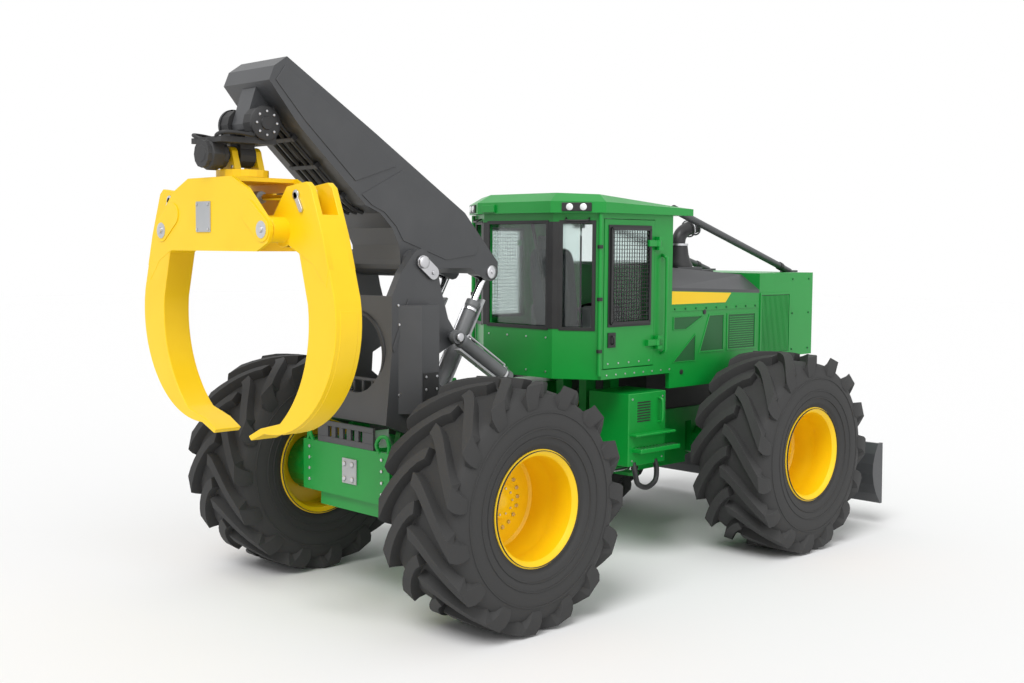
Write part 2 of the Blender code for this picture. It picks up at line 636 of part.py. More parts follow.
def tong_mesh():
    """The left tong: outer and inner edges are arcs, thinner towards the tip."""
    py, pz = TONG_PIN
    outline = [(0.72, 2.31), (0.95, 2.337), (1.0, 2.30), (1.13, 1.98)]
    outline += arc((0.45, 1.39), 0.825, 12, -92, 11)
    outline += [(0.25, 0.50), (0.22, 0.53), (0.37, 0.60)]
    outline += arc((0.05, 1.38), 0.915, -52, 8, 7)
    outline += [(0.86, 1.85)] + arc(TONG_PIN, 0.12, -60, -180, 5) + [(0.56, 2.12)]
    body = prism(outline, "X", GRAPPLE_X - TONG_HALF, GRAPPLE_X + TONG_HALF)
    reach = HEAD_DEPTH_HALF - HEAD_PLATE - RUNNING
    sleeve = rod((GRAPPLE_X - reach, py, pz), (GRAPPLE_X + reach, py, pz), 0.09)
    hole = bore((GRAPPLE_X - 0.4, py, pz), (GRAPPLE_X + 0.4, py, pz), 0.045)
    return body, sleeve, hole


def build_tongs(machine):
    cy, cz = TONG_CYL_PIN
    half_slot = TONG_BARREL + RUNNING
    slot = box((GRAPPLE_X - half_slot, GRAPPLE_X + half_slot), (0.3, cy + 0.10), (cz - 0.13, 2.6))
    body, sleeve, hole = tong_mesh()
    pivot = (GRAPPLE_X, *TONG_PIN)
    eye_pin = pin((GRAPPLE_X - 0.09, cy, cz), (GRAPPLE_X + 0.09, cy, cz), EYE_PIN)
    left = joined([joined([body, sleeve], [hole, slot]), eye_pin])
    right = mirrored(joined([body, sleeve], [hole, slot]))
    machine.add("rear", "tong_left", left, "yellow_paint", pivot)
    machine.add("rear", "tong_right", right, "yellow_paint", (pivot[0], -pivot[1], pivot[2]))
    # the cylinder lies along Y from the left tong's pin to the right tong's clevis
    start, end = Vector((GRAPPLE_X, cy, cz)), Vector((GRAPPLE_X, -cy, cz))
    mouth = Vector((GRAPPLE_X, -0.25, cz))
    along = Vector((0, -1, 0))
    side = Vector((EYE_WIDTH / 2, 0, 0))
    inner = Vector((GRAPPLE_X, 0.15, cz))
    barrel = joined(
        [rod(start + along * 0.045, mouth, TONG_BARREL), rod(start - side, start + side, EYE_RADIUS)],
        [rod(start + along * 0.10, mouth + along * 0.1, TONG_RAM + CLEAR),
         bore(start - side * 3, start + side * 3, EYE_PIN)],
    )
    ram = joined([rod(inner, end - along * 0.045, TONG_RAM), rod(end - side, end + side, EYE_RADIUS)])
    machine.add("rear", "tong_cylinder_barrel", barrel, "dark_paint", start)
    machine.add("rear", "tong_cylinder_rod", ram, "chrome", start)


def build_rear(machine):
    machine.add("rear", "rear_frame", rear_frame_mesh(), "green_paint")
    machine.add("rear", "rear_bumper", bumper_mesh(), "green_paint")
    machine.add("rear", "winch", winch_mesh(), "cast_black")
    machine.add("rear", "arch", arch_mesh(), "dark_paint", (ARCH_PIN[0], 0, ARCH_PIN[1]))
    machine.add("rear", "boom", boom_mesh(), "dark_paint", (BOOM_PIN[0], 0, BOOM_PIN[1]))
    machine.add("rear", "crosshead", crosshead_mesh(), "cast_black", (CROSS_PIN[0], 0, CROSS_PIN[1]))
    machine.add("rear", "rotator", rotator_mesh(), "yellow_paint", (GRAPPLE_X, 0, SWING_Z))
    machine.add("rear", "grapple_head", head_mesh(), "yellow_paint", (GRAPPLE_X, 0, HEAD_TOP))
    build_tongs(machine)


# ---------------------------------------------------------------- front half
def front_frame_mesh():
    pin_x = -WHEELBASE / 2
    neck_end = pin_x + NECK_GAP
    plan = plan_frame(neck_end, neck_end + 0.33, neck_end + 0.60, NOSE)
    low_fork = TONGUES[0][0] - FORK_GAP
    high_fork = TONGUES[1][1] + FORK_GAP
    shapes = [prism(plan, "Z", FRAME_BOTTOM, FRAME_TOP)]
    for low, high in ((low_fork - FORK_THICK, low_fork), (high_fork, high_fork + FORK_THICK)):
        shapes.append(tongue(pin_x, neck_end + 0.1, low, high))
    shapes.append(pin((pin_x, 0, low_fork - FORK_THICK + 0.01), (pin_x, 0, high_fork + 0.01), PIN_RADIUS))
    # cab posts, outriggers for the step boxes, pedestal of the cooling box
    post_top = CAB_BOTTOM - CLEAR
    for x in (neck_end + 0.06, neck_end + 0.40):
        shapes += both(box((x, x + 0.12), (0.10, 0.19), (0.2, post_top)))
    shapes.append(box((neck_end + 0.08, neck_end + 0.30), (-FRAME_HALF, FRAME_HALF), (0.20, FRAME_TOP)))
    shapes.append(box((0.44, NOSE), (-PEDESTAL_HALF, PEDESTAL_HALF), (0.30, COOLER_LOW - CLEAR)))
    # blade arm pins, blade cylinder brackets and steering studs
    shapes += both(pin_stub(BLADE_PIN, FRAME_HALF - 0.03, BLADE_ARM_Y + 0.055, 0.05))
    cx, cz = BLADE_CYL_TOP
    bracket = [(NOSE - 0.06, cz - 0.17), (cx, cz - 0.06)] + arc(BLADE_CYL_TOP, 0.06, -60, 90, 4)
    bracket += [(NOSE - 0.06, cz + 0.08)]
    bracket_outer = BLADE_CYL_Y - SMALL_BARREL - RUNNING
    shapes += both(prism(bracket, "Y", bracket_outer - 0.05, bracket_outer))
    shapes += both(pin_stub(BLADE_CYL_TOP, bracket_outer - 0.02, BLADE_CYL_Y + 0.04))
    stud_x = pin_x + STEER_FRONT
    lug_top = STEER_Z - SMALL_BARREL - RUNNING
    lug = [(stud_x - 0.08, 0.15), (stud_x + 0.10, 0.15), (stud_x + 0.06, STEER_Y)]
    lug += arc((stud_x, STEER_Y), 0.06, 30, 150, 3) + [(stud_x - 0.06, STEER_Y)]
    shapes += both(prism(lug, "Z", lug_top - 0.03, lug_top))
    cuts = [box((-NOTCH_HALF, NOTCH_HALF), (-1, 1), (-1, AXLE_SEAT))]
    return joined(shapes, cuts)


def cab_plan(outset, rear_outset=None, front=CAB_FRONT):
    """Plan of the cab with chamfered rear corners, moved outwards by outset."""
    rear = outset if rear_outset is None else rear_outset
    half = [(front, CAB_HALF + outset), (CAB_CORNER - 0.4 * outset, CAB_HALF + outset),
            (CAB_REAR - rear, CAB_REAR_HALF + 0.4 * outset)]
    return half + [(x, -y) for x, y in reversed(half)]


def corner_cut(low, high, margin):
    """A cutter for the two chamfered corner windows, square to the chamfers."""
    along = Vector((CAB_CORNER - CAB_REAR, CAB_HALF - CAB_REAR_HALF, 0))
    middle = Vector((CAB_REAR, CAB_REAR_HALF, 0)) + along / 2
    half = along.length / 2 - margin
    block = box((-half, half), (-0.15, 0.15), (low, high))
    block.transform(Matrix.Translation(middle) @ Matrix.Rotation(math.atan2(along.y, along.x), 4, "Z"))
    return block


def hinge_heights():
    return (DOOR_LOW + 0.18, DOOR_HIGH - 0.24)


def cab_frame_mesh():
    wall = CAB_WALL
    outer = prism(cab_plan(0), "Z", CAB_BOTTOM, CAB_TOP)
    inner_plan = cab_plan(-wall, front=CAB_FRONT - wall)
    shapes = [outer]
    inner = prism(inner_plan, "Z", CAB_BOTTOM + 0.06, CAB_TOP + 0.1)
    door_hole = box((DOOR_BACK, DOOR_FRONT), (CAB_HALF - 0.1, CAB_HALF + 0.1), (DOOR_LOW, DOOR_HIGH))
    rear_hole = box((CAB_REAR - 0.1, CAB_REAR + 0.1), (-CAB_REAR_HALF + 0.06, CAB_REAR_HALF - 0.06),
                    (GLASS_LOW, GLASS_HIGH))
    front_hole = box((CAB_FRONT - 0.1, CAB_FRONT + 0.1), (-CAB_HALF + 0.10, CAB_HALF - 0.10),
                     (HOOD_CREST[0] + 0.03, GLASS_HIGH))
    cuts = [inner, rear_hole, front_hole, *both(door_hole), *both(corner_cut(GLASS_LOW, GLASS_HIGH, 0.07))]
    shell = joined(shapes, cuts)
    knuckles = []
    for z in hinge_heights():
        for low in (z - 0.03, z + HINGE_TALL + CLEAR):
            knuckles += both(box((HINGE_X - 0.014, HINGE_X + 0.05), (CAB_HALF - 0.01, HINGE_Y + 0.02),
                                 (low, low + 0.03 - CLEAR)))
        top = z + HINGE_TALL + 0.01
        knuckles += both(pin((HINGE_X, HINGE_Y, z - 0.01), (HINGE_X, HINGE_Y, top), HINGE_PIN))
    return joined([shell, *knuckles])


def door_mesh():
    """The left door: frame, pane and two hinge straps."""
    back, front = DOOR_BACK + 0.006, DOOR_FRONT - 0.006
    low, high = DOOR_LOW + 0.006, DOOR_HIGH - 0.006
    outer = CAB_HALF + 0.004
    inner = outer - DOOR_THICK
    slab = box((back, front), (inner, outer), (low, high))
    hole = box((back + 0.06, front - 0.06), (inner - 0.1, outer + 0.1), (GLASS_LOW + 0.03, high - 0.06))
    pane = box((back + 0.05, front - 0.05), (inner + 0.012, inner + 0.020), (GLASS_LOW + 0.02, high - 0.05))
    shapes, cuts = [joined([slab], [hole]), pane], []
    for z in hinge_heights():
        strap = box((front - 0.10, HINGE_X), (outer - 0.004, HINGE_Y + 0.010), (z, z + HINGE_TALL - CLEAR))
        eye = rod((HINGE_X, HINGE_Y, z), (HINGE_X, HINGE_Y, z + HINGE_TALL - CLEAR), HINGE_EYE, 12)
        bite = box((front + 0.001, HINGE_X + 0.1), (outer - 0.1, CAB_HALF + 0.005), (z - 0.1, z + 0.2))
        shapes += [joined([strap, eye], [bite])]
        cuts.append(bore((HINGE_X, HINGE_Y, z - 0.1), (HINGE_X, HINGE_Y, z + 0.2), HINGE_PIN))
    return joined(shapes, cuts)


def roof_mesh():
    """Three stacked outlines: rim, shoulder and crown, lower at the front."""
    base = CAB_TOP + CLEAR
    rear_x = CAB_REAR - ROOF_LIP
    rings = [(cab_plan(ROOF_LIP, front=ROOF_FRONT), base, base),
             (cab_plan(ROOF_LIP, front=ROOF_FRONT), base + ROOF_RIM, base + ROOF_RIM * 0.6),
             (cab_plan(ROOF_LIP - 0.12, front=ROOF_FRONT - 0.06), *ROOF_CROWN)]
    verts, faces = [], []
    for plan, rear_z, front_z in rings:
        for x, y in plan:
            share = (x - rear_x) / (ROOF_FRONT - rear_x)
            verts.append((x, y, rear_z + (front_z - rear_z) * share))
    count = len(rings[0][0])
    for level in range(2):
        low, high = level * count, (level + 1) * count
        faces += [(low + i, low + (i + 1) % count, high + (i + 1) % count, high + i) for i in range(count)]
    faces += [tuple(range(count)), tuple(range(3 * count - 1, 2 * count - 1, -1))]
    return mesh_of(verts, faces)


def glazing_mesh():
    """One bent pane behind the rear window and the two corner windows."""
    gap = CAB_WALL + CLEAR / 0.4
    outer = cab_plan(-gap)
    inner = cab_plan(-gap - 0.012)
    path = [outer[1], outer[2], outer[3], outer[4], inner[4], inner[3], inner[2], inner[1]]
    band = prism(path, "Z", GLASS_LOW - 0.03, GLASS_HIGH + 0.03)
    trim = [box((CAB_CORNER - 0.06, 0), across, (0, 3)) for across in ((0.3, 1.0), (-1.0, -0.3))]
    return joined([band], trim)


def windshield_mesh():
    back = CAB_FRONT - CAB_WALL
    return box((back - 0.012 - CLEAR, back - CLEAR), (-CAB_HALF + 0.07, CAB_HALF - 0.07),
               (HOOD_CREST[0], GLASS_HIGH + 0.03))


def seat_mesh():
    floor = CAB_BOTTOM + 0.06 + CLEAR
    middle = (CAB_CORNER + CAB_FRONT) / 2
    pedestal = box((middle - 0.20, middle + 0.15), (-0.20, 0.20), (floor, floor + 0.26))
    cushion = box((middle - 0.25, middle + 0.25), (-0.26, 0.26), (floor + 0.24, floor + 0.40))
    back = prism([(middle - 0.25, floor + 0.30), (middle - 0.13, floor + 0.30), (middle - 0.20, floor + 1.05),
                  (middle - 0.30, floor + 1.05)], "Y", -0.24, 0.24)
    consoles = both(box((middle - 0.15, middle + 0.25), (0.24, 0.40), (floor + 0.30, floor + 0.55)))
    return joined([pedestal, cushion, back, *consoles])


def between(pair, x):
    """Value at x of a size given at the cab's front wall and at the cooling box."""
    share = (x - CAB_FRONT) / (COOLER_REAR - CAB_FRONT)
    return pair[0] + (pair[1] - pair[0]) * share


def hood_top_mesh():
    """Cowl: flat crest and two sloping shoulders, open below."""
    sections = []
    for x in (CAB_FRONT + CLEAR, COOLER_REAR - CLEAR):
        side, crest = between(HOOD_SIDE_TOP, x) + CLEAR, between(HOOD_CREST, x)
        half = [(0, crest), (HOOD_CREST_HALF, crest), (HOOD_HALF, side + 0.03), (HOOD_HALF, side),
                (HOOD_HALF - 0.06, side), (HOOD_CREST_HALF - 0.02, crest - HOOD_SHEET),
                (0, crest - HOOD_SHEET)]
        ring = half[1:6] + [(-y, z) for y, z in reversed(half[1:6])]
        sections.append([(x, y, z) for y, z in ring])
    count = len(sections[0])
    faces = [tuple(range(count)), tuple(range(2 * count - 1, count - 1, -1))]
    faces += [(i, (i + 1) % count, (i + 1) % count + count, i + count) for i in range(count)]
    cowl = mesh_of(sections[0] + sections[1], faces)
    pad_x, pad_y = EXHAUST
    pad = box((pad_x - 0.19, pad_x + 0.19), (pad_y - 0.15, pad_y + 0.19), (between(HOOD_CREST, pad_x) - 0.03,
                                                                         exhaust_seat()))
    return joined([cowl, pad])


def exhaust_seat():
    return between(HOOD_CREST, EXHAUST[0] - 0.19) + 0.012


def hood_side_mesh():
    back, front = CAB_FRONT + CLEAR, COOLER_REAR - CLEAR
    outline = [(back, HOOD_SIDE_LOW), (front, HOOD_SIDE_LOW), (front, between(HOOD_SIDE_TOP, front)),
               (back, between(HOOD_SIDE_TOP, back))]
    return prism(outline, "Y", HOOD_HALF - HOOD_SHEET, HOOD_HALF)


def exhaust_mesh():
    x, y = EXHAUST
    seat = exhaust_seat() + CLEAR
    bell = rod((x, y, seat), (x, y, seat + 0.22), 0.14, SIDES, 0.085)
    elbow = [(x, y, seat + 0.26), (x + 0.06, y, seat + 0.33), (x + 0.26, y, seat + 0.40)]
    stack = pipe([(x, y, seat + 0.15), *elbow], 0.07, 12)
    return joined([bell, stack])


def cooler_mesh():
    body = box((COOLER_REAR, COOLER_FRONT), (-HOOD_HALF, HOOD_HALF), (COOLER_LOW, COOLER_TOP))
    recess = box((COOLER_FRONT - 0.10, COOLER_FRONT + 0.1), (-HOOD_HALF + 0.08, HOOD_HALF - 0.08),
                 (COOLER_LOW + 0.09, COOLER_TOP - 0.09))
    shell = joined([body], [recess])
    knuckles = []
    x, y = fan_hinge()
    for z in fan_hinge_heights():
        for low in (z - 0.03, z + HINGE_TALL + CLEAR):
            tall = (low, low + 0.03 - CLEAR)
            knuckles.append(box((COOLER_FRONT - 0.01, x + 0.016), (y - 0.012, HOOD_HALF), tall))
        knuckles.append(pin((x, y, z - 0.01), (x, y, z + HINGE_TALL + 0.01), HINGE_PIN))
    return joined([shell, *knuckles])


def fan_hinge():
    """x, y of the radiator door's hinge line."""
    return COOLER_FRONT + 0.075, HOOD_HALF - 0.02


def fan_hinge_heights():
    return (COOLER_LOW + 0.15, COOLER_TOP - 0.21)


def radiator_door_mesh():
    x, y = fan_hinge()
    back = COOLER_FRONT + 0.006
    tall = (COOLER_LOW + 0.05, COOLER_TOP - 0.05)
    slab = box((back, back + 0.045), (-HOOD_HALF + 0.04, HOOD_HALF - 0.045), tall)
    shapes, cuts = [slab], []
    for z in fan_hinge_heights():
        shapes.append(box((back + 0.035, x + 0.012), (y - 0.12, y), (z, z + HINGE_TALL - CLEAR)))
        shapes.append(rod((x, y, z), (x, y, z + HINGE_TALL - CLEAR), HINGE_EYE - 0.004, 12))
        cuts.append(bore((x, y, z - 0.1), (x, y, z + 0.2), HINGE_PIN))
    return joined(shapes, cuts)


def riser_mesh():
    """The left limb riser, a bent tube from the roof's front corner to the cooling box."""
    foot_x = COOLER_FRONT - 0.06
    foot_z = COOLER_TOP + CLEAR
    roof_z = CAB_TOP + 0.045
    start = [(ROOF_FRONT + CLEAR, 0.62, roof_z), (ROOF_FRONT + 0.12, 0.62, roof_z)]
    tube = pipe([*start, (foot_x - 0.03, 0.53, foot_z + 0.05), (foot_x, 0.53, foot_z)], 0.03, 8)
    foot = box((foot_x - 0.07, foot_x + 0.05), (0.46, 0.60), (foot_z, foot_z + 0.02))
    trim = box((foot_x - 0.5, foot_x + 0.5), (0.3, 0.8), (foot_z - 0.2, foot_z))
    return joined([tube, foot], [trim])


def side_tank_mesh():
    """The left step box with its two treads."""
    back = -WHEELBASE / 2 + 0.14
    front = back + 0.52
    low, high = -0.03, 0.62
    body = box((back, front), (FRAME_HALF + CLEAR, 0.85), (low, high))
    treads = [box((back + 0.06, front + 0.10), (0.80, 0.95), (0.09, 0.13)),
              box((back + 0.06, front + 0.10), (0.80, 0.95), (low - 0.09, low - 0.05)),
              box((back + 0.10, back + 0.14), (0.78, 0.83), (low - 0.09, low + 0.1)),
              box((front - 0.06, front - 0.02), (0.78, 0.83), (low - 0.09, low + 0.1))]
    return joined([body, *treads])


def blade_mesh():
    """Moldboard bent to an arc through its top, belly and edge, with two push arms."""
    top, belly, edge = BLADE_TOP, BLADE_BELLY, BLADE_EDGE
    steps = 6
    face = []
    for i in range(steps + 1):
        t = i / steps
        u = 1 - t
        ctrl_x = 2 * belly[0] - (top[0] + edge[0]) / 2
        face.append((u * u * top[0] + 2 * u * t * ctrl_x + t * t * edge[0],
                     u * u * top[1] + 2 * u * t * belly[1] + t * t * edge[1]))
    outline = [(x + BLADE_PLATE, z) for x, z in face] + list(reversed(face))
    board = prism(outline, "Y", -BLADE_HALF, BLADE_HALF)
    cheek = [face[0], (face[0][0] + 0.09, face[0][1]), (edge[0] + 0.035, edge[1])] + list(reversed(face[1:]))
    cheeks = both(prism(cheek, "Y", BLADE_HALF - 0.03, BLADE_HALF))
    px, pz = BLADE_PIN
    arm_y = (BLADE_ARM_Y - 0.045, BLADE_ARM_Y + 0.045)
    arm = [(px, pz + 0.09), (px - 0.08, pz + 0.04), (px - 0.08, pz - 0.04), (px, pz - 0.09),
           (belly[0] + 0.02, belly[1] - 0.17), (belly[0] + 0.02, belly[1] + 0.09)]
    arms = both(prism(arm, "Y", *arm_y))
    cross = box((1.20, 1.28), (-BLADE_ARM_Y, BLADE_ARM_Y), (-0.50, -0.42))
    ex, ez = BLADE_CYL_EYE
    reach = [(ex - 0.12, -0.48), (ex - 0.05, ez), (ex - 0.03, ez + 0.06), (ex + 0.03, ez + 0.06),
             (belly[0] + 0.02, ez), (belly[0] + 0.02, -0.50)]
    lugs = []
    for plate in clevis_plates(BLADE_CYL_EYE, BLADE_CYL_Y, reach):
        lugs += both(plate)
    cuts = both(bore((px, 0.3, pz), (px, 0.6, pz), 0.05))
    return joined([board, *cheeks, *arms, cross, *lugs], cuts)


def build_front(machine):
    add = machine.add
    add("front", "front_frame", front_frame_mesh(), "green_paint", (-WHEELBASE / 2, 0, 0))
    engine = box((-0.85, 0.30), (-0.36, 0.36), (FRAME_TOP + CLEAR, 1.30))
    add("front", "engine_block", engine, "steel_grey")
    add("front", "cab_frame", cab_frame_mesh(), "green_paint")
    add("front", "cab_roof", roof_mesh(), "green_paint")
    add("front", "windshield", windshield_mesh(), "glass")
    add("front", "rear_glazing", glazing_mesh(), "glass")
    add("front", "seat", seat_mesh(), "seat_black")
    hinge = (HINGE_X, HINGE_Y, DOOR_LOW)
    machine.add_pair("front", "door_{}", door_mesh(), "green_paint", hinge)
    add("front", "hood_top", hood_top_mesh(), "dark_paint")
    machine.add_pair("front", "hood_side_{}", hood_side_mesh(), "green_paint")
    add("front", "exhaust_stack", exhaust_mesh(), "cast_black")
    add("front", "cooling_box", cooler_mesh(), "green_paint")
    add("front", "radiator_door", radiator_door_mesh(), "green_paint", (*fan_hinge(), COOLER_LOW))
    machine.add_pair("front", "limb_riser_{}", riser_mesh(), "dark_paint")
    machine.add_pair("front", "side_tank_{}", side_tank_mesh(), "green_paint")
    add("front", "blade", blade_mesh(), "dark_paint", (BLADE_PIN[0], 0, BLADE_PIN[1]))


def main():
    clear_scene()
    machine = Machine()
    build_wheels(machine)
    build_rear(machine)
    build_front(machine)
    build_cylinders(machine)


main()
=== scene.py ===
"""Visual model of a grapple skidder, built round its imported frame.

Metres; +X forward, +Y to the operator's left, +Z up, ground at Z = 0. Sizes of the front half are
measured from the middle of the front axle and those of the rear half from the middle of the rear one.
"""

from __future__ import annotations

import logging
import math
from dataclasses import dataclass, field
from enum import Enum

import bmesh
import bpy
import numpy as np
from mathutils import Matrix, Vector

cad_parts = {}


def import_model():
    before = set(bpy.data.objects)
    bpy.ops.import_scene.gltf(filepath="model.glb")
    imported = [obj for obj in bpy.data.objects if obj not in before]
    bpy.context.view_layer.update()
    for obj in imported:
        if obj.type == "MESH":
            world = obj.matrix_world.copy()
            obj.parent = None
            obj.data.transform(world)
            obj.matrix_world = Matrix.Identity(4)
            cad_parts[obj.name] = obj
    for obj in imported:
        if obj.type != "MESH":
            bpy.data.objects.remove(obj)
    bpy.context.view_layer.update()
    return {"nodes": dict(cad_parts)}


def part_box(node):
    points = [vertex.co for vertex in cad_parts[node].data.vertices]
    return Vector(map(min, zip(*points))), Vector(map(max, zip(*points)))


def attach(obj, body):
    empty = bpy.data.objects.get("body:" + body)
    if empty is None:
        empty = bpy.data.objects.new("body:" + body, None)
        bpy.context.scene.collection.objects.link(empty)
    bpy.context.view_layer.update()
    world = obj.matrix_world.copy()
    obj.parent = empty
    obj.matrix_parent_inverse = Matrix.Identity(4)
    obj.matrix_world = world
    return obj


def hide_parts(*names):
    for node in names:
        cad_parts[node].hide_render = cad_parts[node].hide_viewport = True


LOG = logging.getLogger("skidder")
Array = np.ndarray
SIDES = {"left": 1.0, "right": -1.0}
FRONT = (1.905, 0.0, 0.935)  # middle of the front axle
REAR = (-1.755, 0.0, 0.935)  # middle of the rear axle
WORLD = (0.0, 0.0, 0.0)
UP = (0.0, 0.0, 1.0)
ACROSS = (0.0, 1.0, 0.0)
OUTWARD_REAR = (-1.0, 0.0, 0.0)


class Axis(Enum):
    """World axes, with the order in which an outline's two numbers and its depth become X, Y, Z."""

    X = (2, 0, 1)
    Y = (0, 2, 1)
    Z = (0, 1, 2)


# ---------------------------------------------------------------- finishes
@dataclass(frozen=True)
class Finish:
    """A surface with mottled colour, uneven gloss and a fine grain in its relief."""

    name: str
    slot: str
    colour: tuple[float, float, float]
    worn: tuple[float, float, float]
    roughness: float
    metallic: float = 0.0
    coat: float = 0.0
    mottle_scale: float = 3.0
    mottle_from: float = 0.45
    grain_scale: float = 350.0
    grain_depth: float = 0.0003
    transmission: float = 0.0

    def material(self) -> bpy.types.Material:
        """The finish as a node material, made once.

        Returns:
            The material: noise on Object coordinates mixes colour and worn, shifts roughness by a
            tenth, and a finer noise drives the bump.
        """
        if self.name in bpy.data.materials:
            return bpy.data.materials[self.name]
        made = bpy.data.materials.new(self.name)
        made.use_nodes = True
        nodes, links = made.node_tree.nodes, made.node_tree.links
        shader = nodes["Principled BSDF"]
        where = nodes.new("ShaderNodeTexCoord").outputs["Object"]
        broad = self._noise(nodes, links, where, self.mottle_scale, 5.0)
        spread = nodes.new("ShaderNodeMapRange")
        spread.inputs["From Min"].default_value = self.mottle_from
        spread.inputs["From Max"].default_value = self.mottle_from + 0.3
        links.new(broad, spread.inputs["Value"])
        mix = nodes.new("ShaderNodeMix")
        mix.data_type = "RGBA"
        mix.inputs["A"].default_value = (*self.colour, 1.0)
        mix.inputs["B"].default_value = (*self.worn, 1.0)
        links.new(spread.outputs["Result"], mix.inputs["Factor"])
        links.new(mix.outputs["Result"], shader.inputs["Base Color"])
        gloss = nodes.new("ShaderNodeMapRange")
        gloss.inputs["To Min"].default_value = max(0.02, self.roughness - 0.08)
        gloss.inputs["To Max"].default_value = min(1.0, self.roughness + 0.08)
        links.new(broad, gloss.inputs["Value"])
        links.new(gloss.outputs["Result"], shader.inputs["Roughness"])
        bump = nodes.new("ShaderNodeBump")
        bump.inputs["Strength"].default_value = 0.5
        bump.inputs["Distance"].default_value = self.grain_depth
        links.new(self._noise(nodes, links, where, self.grain_scale, 2.0), bump.inputs["Height"])
        links.new(bump.outputs["Normal"], shader.inputs["Normal"])
        shader.inputs["Metallic"].default_value = self.metallic
        shader.inputs["Coat Weight"].default_value = self.coat
        shader.inputs["Coat Roughness"].default_value = 0.12
        shader.inputs["Transmission Weight"].default_value = self.transmission
        return made

    @staticmethod
    def _noise(nodes, links, where, scale: float, detail: float):
        """A noise output at this scale, in Object coordinates."""
        noise = nodes.new("ShaderNodeTexNoise")
        noise.inputs["Scale"].default_value = scale
        noise.inputs["Detail"].default_value = detail
        links.new(where, noise.inputs["Vector"])
        return noise.outputs["Fac"]


GREEN = Finish("green_enamel", "green_paint", (0.001, 0.285, 0.034), (0.001, 0.260, 0.030), 0.36, coat=0.06)
# Painted shade: a darker copy of the green paint, used on the side bolt heads and the vent openings.
GREEN_PAINTED_SHADE = Finish("green_painted_shade", "green_paint", (0.002, 0.10, 0.018), (0.002, 0.08, 0.014), 0.5)
YELLOW = Finish("yellow_enamel", "yellow_paint", (0.95, 0.62, 0.002), (0.92, 0.59, 0.002), 0.42, coat=0.04)
CHARCOAL = Finish("charcoal_paint", "dark_paint", (0.056, 0.058, 0.062), (0.066, 0.068, 0.072), 0.42,
                  coat=0.05)
BLACK = Finish("satin_black", "black_paint", (0.014, 0.014, 0.015), (0.024, 0.024, 0.025), 0.45)
CAST = Finish("cast_black", "cast_metal", (0.022, 0.022, 0.023), (0.04, 0.04, 0.04), 0.62,
              grain_depth=0.001)
RUBBER = Finish("tyre_rubber", "tyre_rubber", (0.013, 0.013, 0.014), (0.021, 0.021, 0.022), 0.60,
                mottle_scale=7.0, grain_scale=240.0, grain_depth=0.0008)
HOSE = Finish("hose_rubber", "black_paint", (0.014, 0.014, 0.015), (0.026, 0.026, 0.026), 0.55,
              grain_scale=500.0)
STEEL = Finish("plated_steel", "chrome_rod", (0.62, 0.62, 0.64), (0.50, 0.50, 0.52), 0.30, metallic=1.0)
CHROME = Finish("chromed_rod", "chrome_rod", (0.78, 0.78, 0.80), (0.70, 0.70, 0.72), 0.12, metallic=1.0)
# A lighter copy of the cylinder paint: on the cylinder guards it is a painted highlight, on the blank plate
# and the hitch plate their own pale grey.
PALE_GREY_AND_HIGHLIGHT = Finish("pale_grey_paint_and_highlight", "cylinder_paint", (0.42, 0.43, 0.44), (0.36, 0.37, 0.38), 0.45)
MID_GREY = Finish("mid_grey_paint", "cylinder_paint", (0.16, 0.165, 0.17), (0.12, 0.125, 0.13), 0.45)
CLOTH = Finish("seat_cloth", "seat_cloth", (0.028, 0.028, 0.030), (0.05, 0.05, 0.052), 0.9,
               mottle_scale=900.0, grain_scale=1200.0, grain_depth=0.001)
LENS = Finish("lamp_lens", "clear_glass", (0.85, 0.87, 0.88), (0.75, 0.77, 0.78), 0.15, coat=0.5)
GLASS = Finish("cab_glass", "clear_glass", (0.80, 0.88, 0.86), (0.76, 0.85, 0.83), 0.10, transmission=1.0,
               grain_depth=0.00002)

NODE_FINISHES = {
    GREEN: ("cab_frame", "cab_roof", "hood_side_left", "hood_side_right", "cooling_box", "radiator_door",
            "front_frame", "rear_frame", "rear_bumper", "front_axle", "rear_axle"),
    YELLOW: ("grapple_head", "rotator"),
    CHARCOAL: ("arch", "boom", "blade", "hood_top"),
    CAST: ("crosshead", "engine_block", "winch"),
    GLASS: ("windshield", "rear_glazing"),
    MID_GREY: ("tong_cylinder_barrel",),
    CHROME: ("tong_cylinder_rod",),
}


# ---------------------------------------------------------------- surfaces
@dataclass
class Block:
    """Points and faces of one or more closed surfaces."""

    points: Array
    faces: list[list[int]]

    def copies(self, offsets: Array) -> "Block":
        """The block once at each offset: points + offset."""
        offsets = np.atleast_2d(np.asarray(offsets, float))
        points = (self.points[None] + offsets[:, None]).reshape(-1, 3)
        step = len(self.points)
        faces = [[i + k * step for i in face] for k in range(len(offsets)) for face in self.faces]
        return Block(points, faces)

    def both(self) -> "Block":
        """The block and its mirror image across Y = 0."""
        return merged([self, Block(self.points * (1.0, -1.0, 1.0), self.faces)])

    def on(self, side: float) -> "Block":
        """The block for that side: side +1 keeps it, -1 mirrors it across Y = 0."""
        return Block(self.points * (1.0, side, 1.0), self.faces)


    def yawed(self, angle: float, at: tuple[float, float, float]) -> "Block":
        """The block turned by an angle about Z, then moved: R(angle) p + at."""
        c, s = math.cos(angle), math.sin(angle)
        spin = np.array([[c, -s, 0.0], [s, c, 0.0], [0.0, 0.0, 1.0]])
        return Block(self.points @ spin.T + np.asarray(at, float), self.faces)


def merged(blocks: list[Block]) -> Block:
    """All blocks as one, each keeping its own surface."""
    starts = np.cumsum([0] + [len(b.points) for b in blocks])
    faces = [[i + int(start) for i in face] for b, start in zip(blocks, starts) for face in b.faces]
    return Block(np.vstack([b.points for b in blocks]), faces)


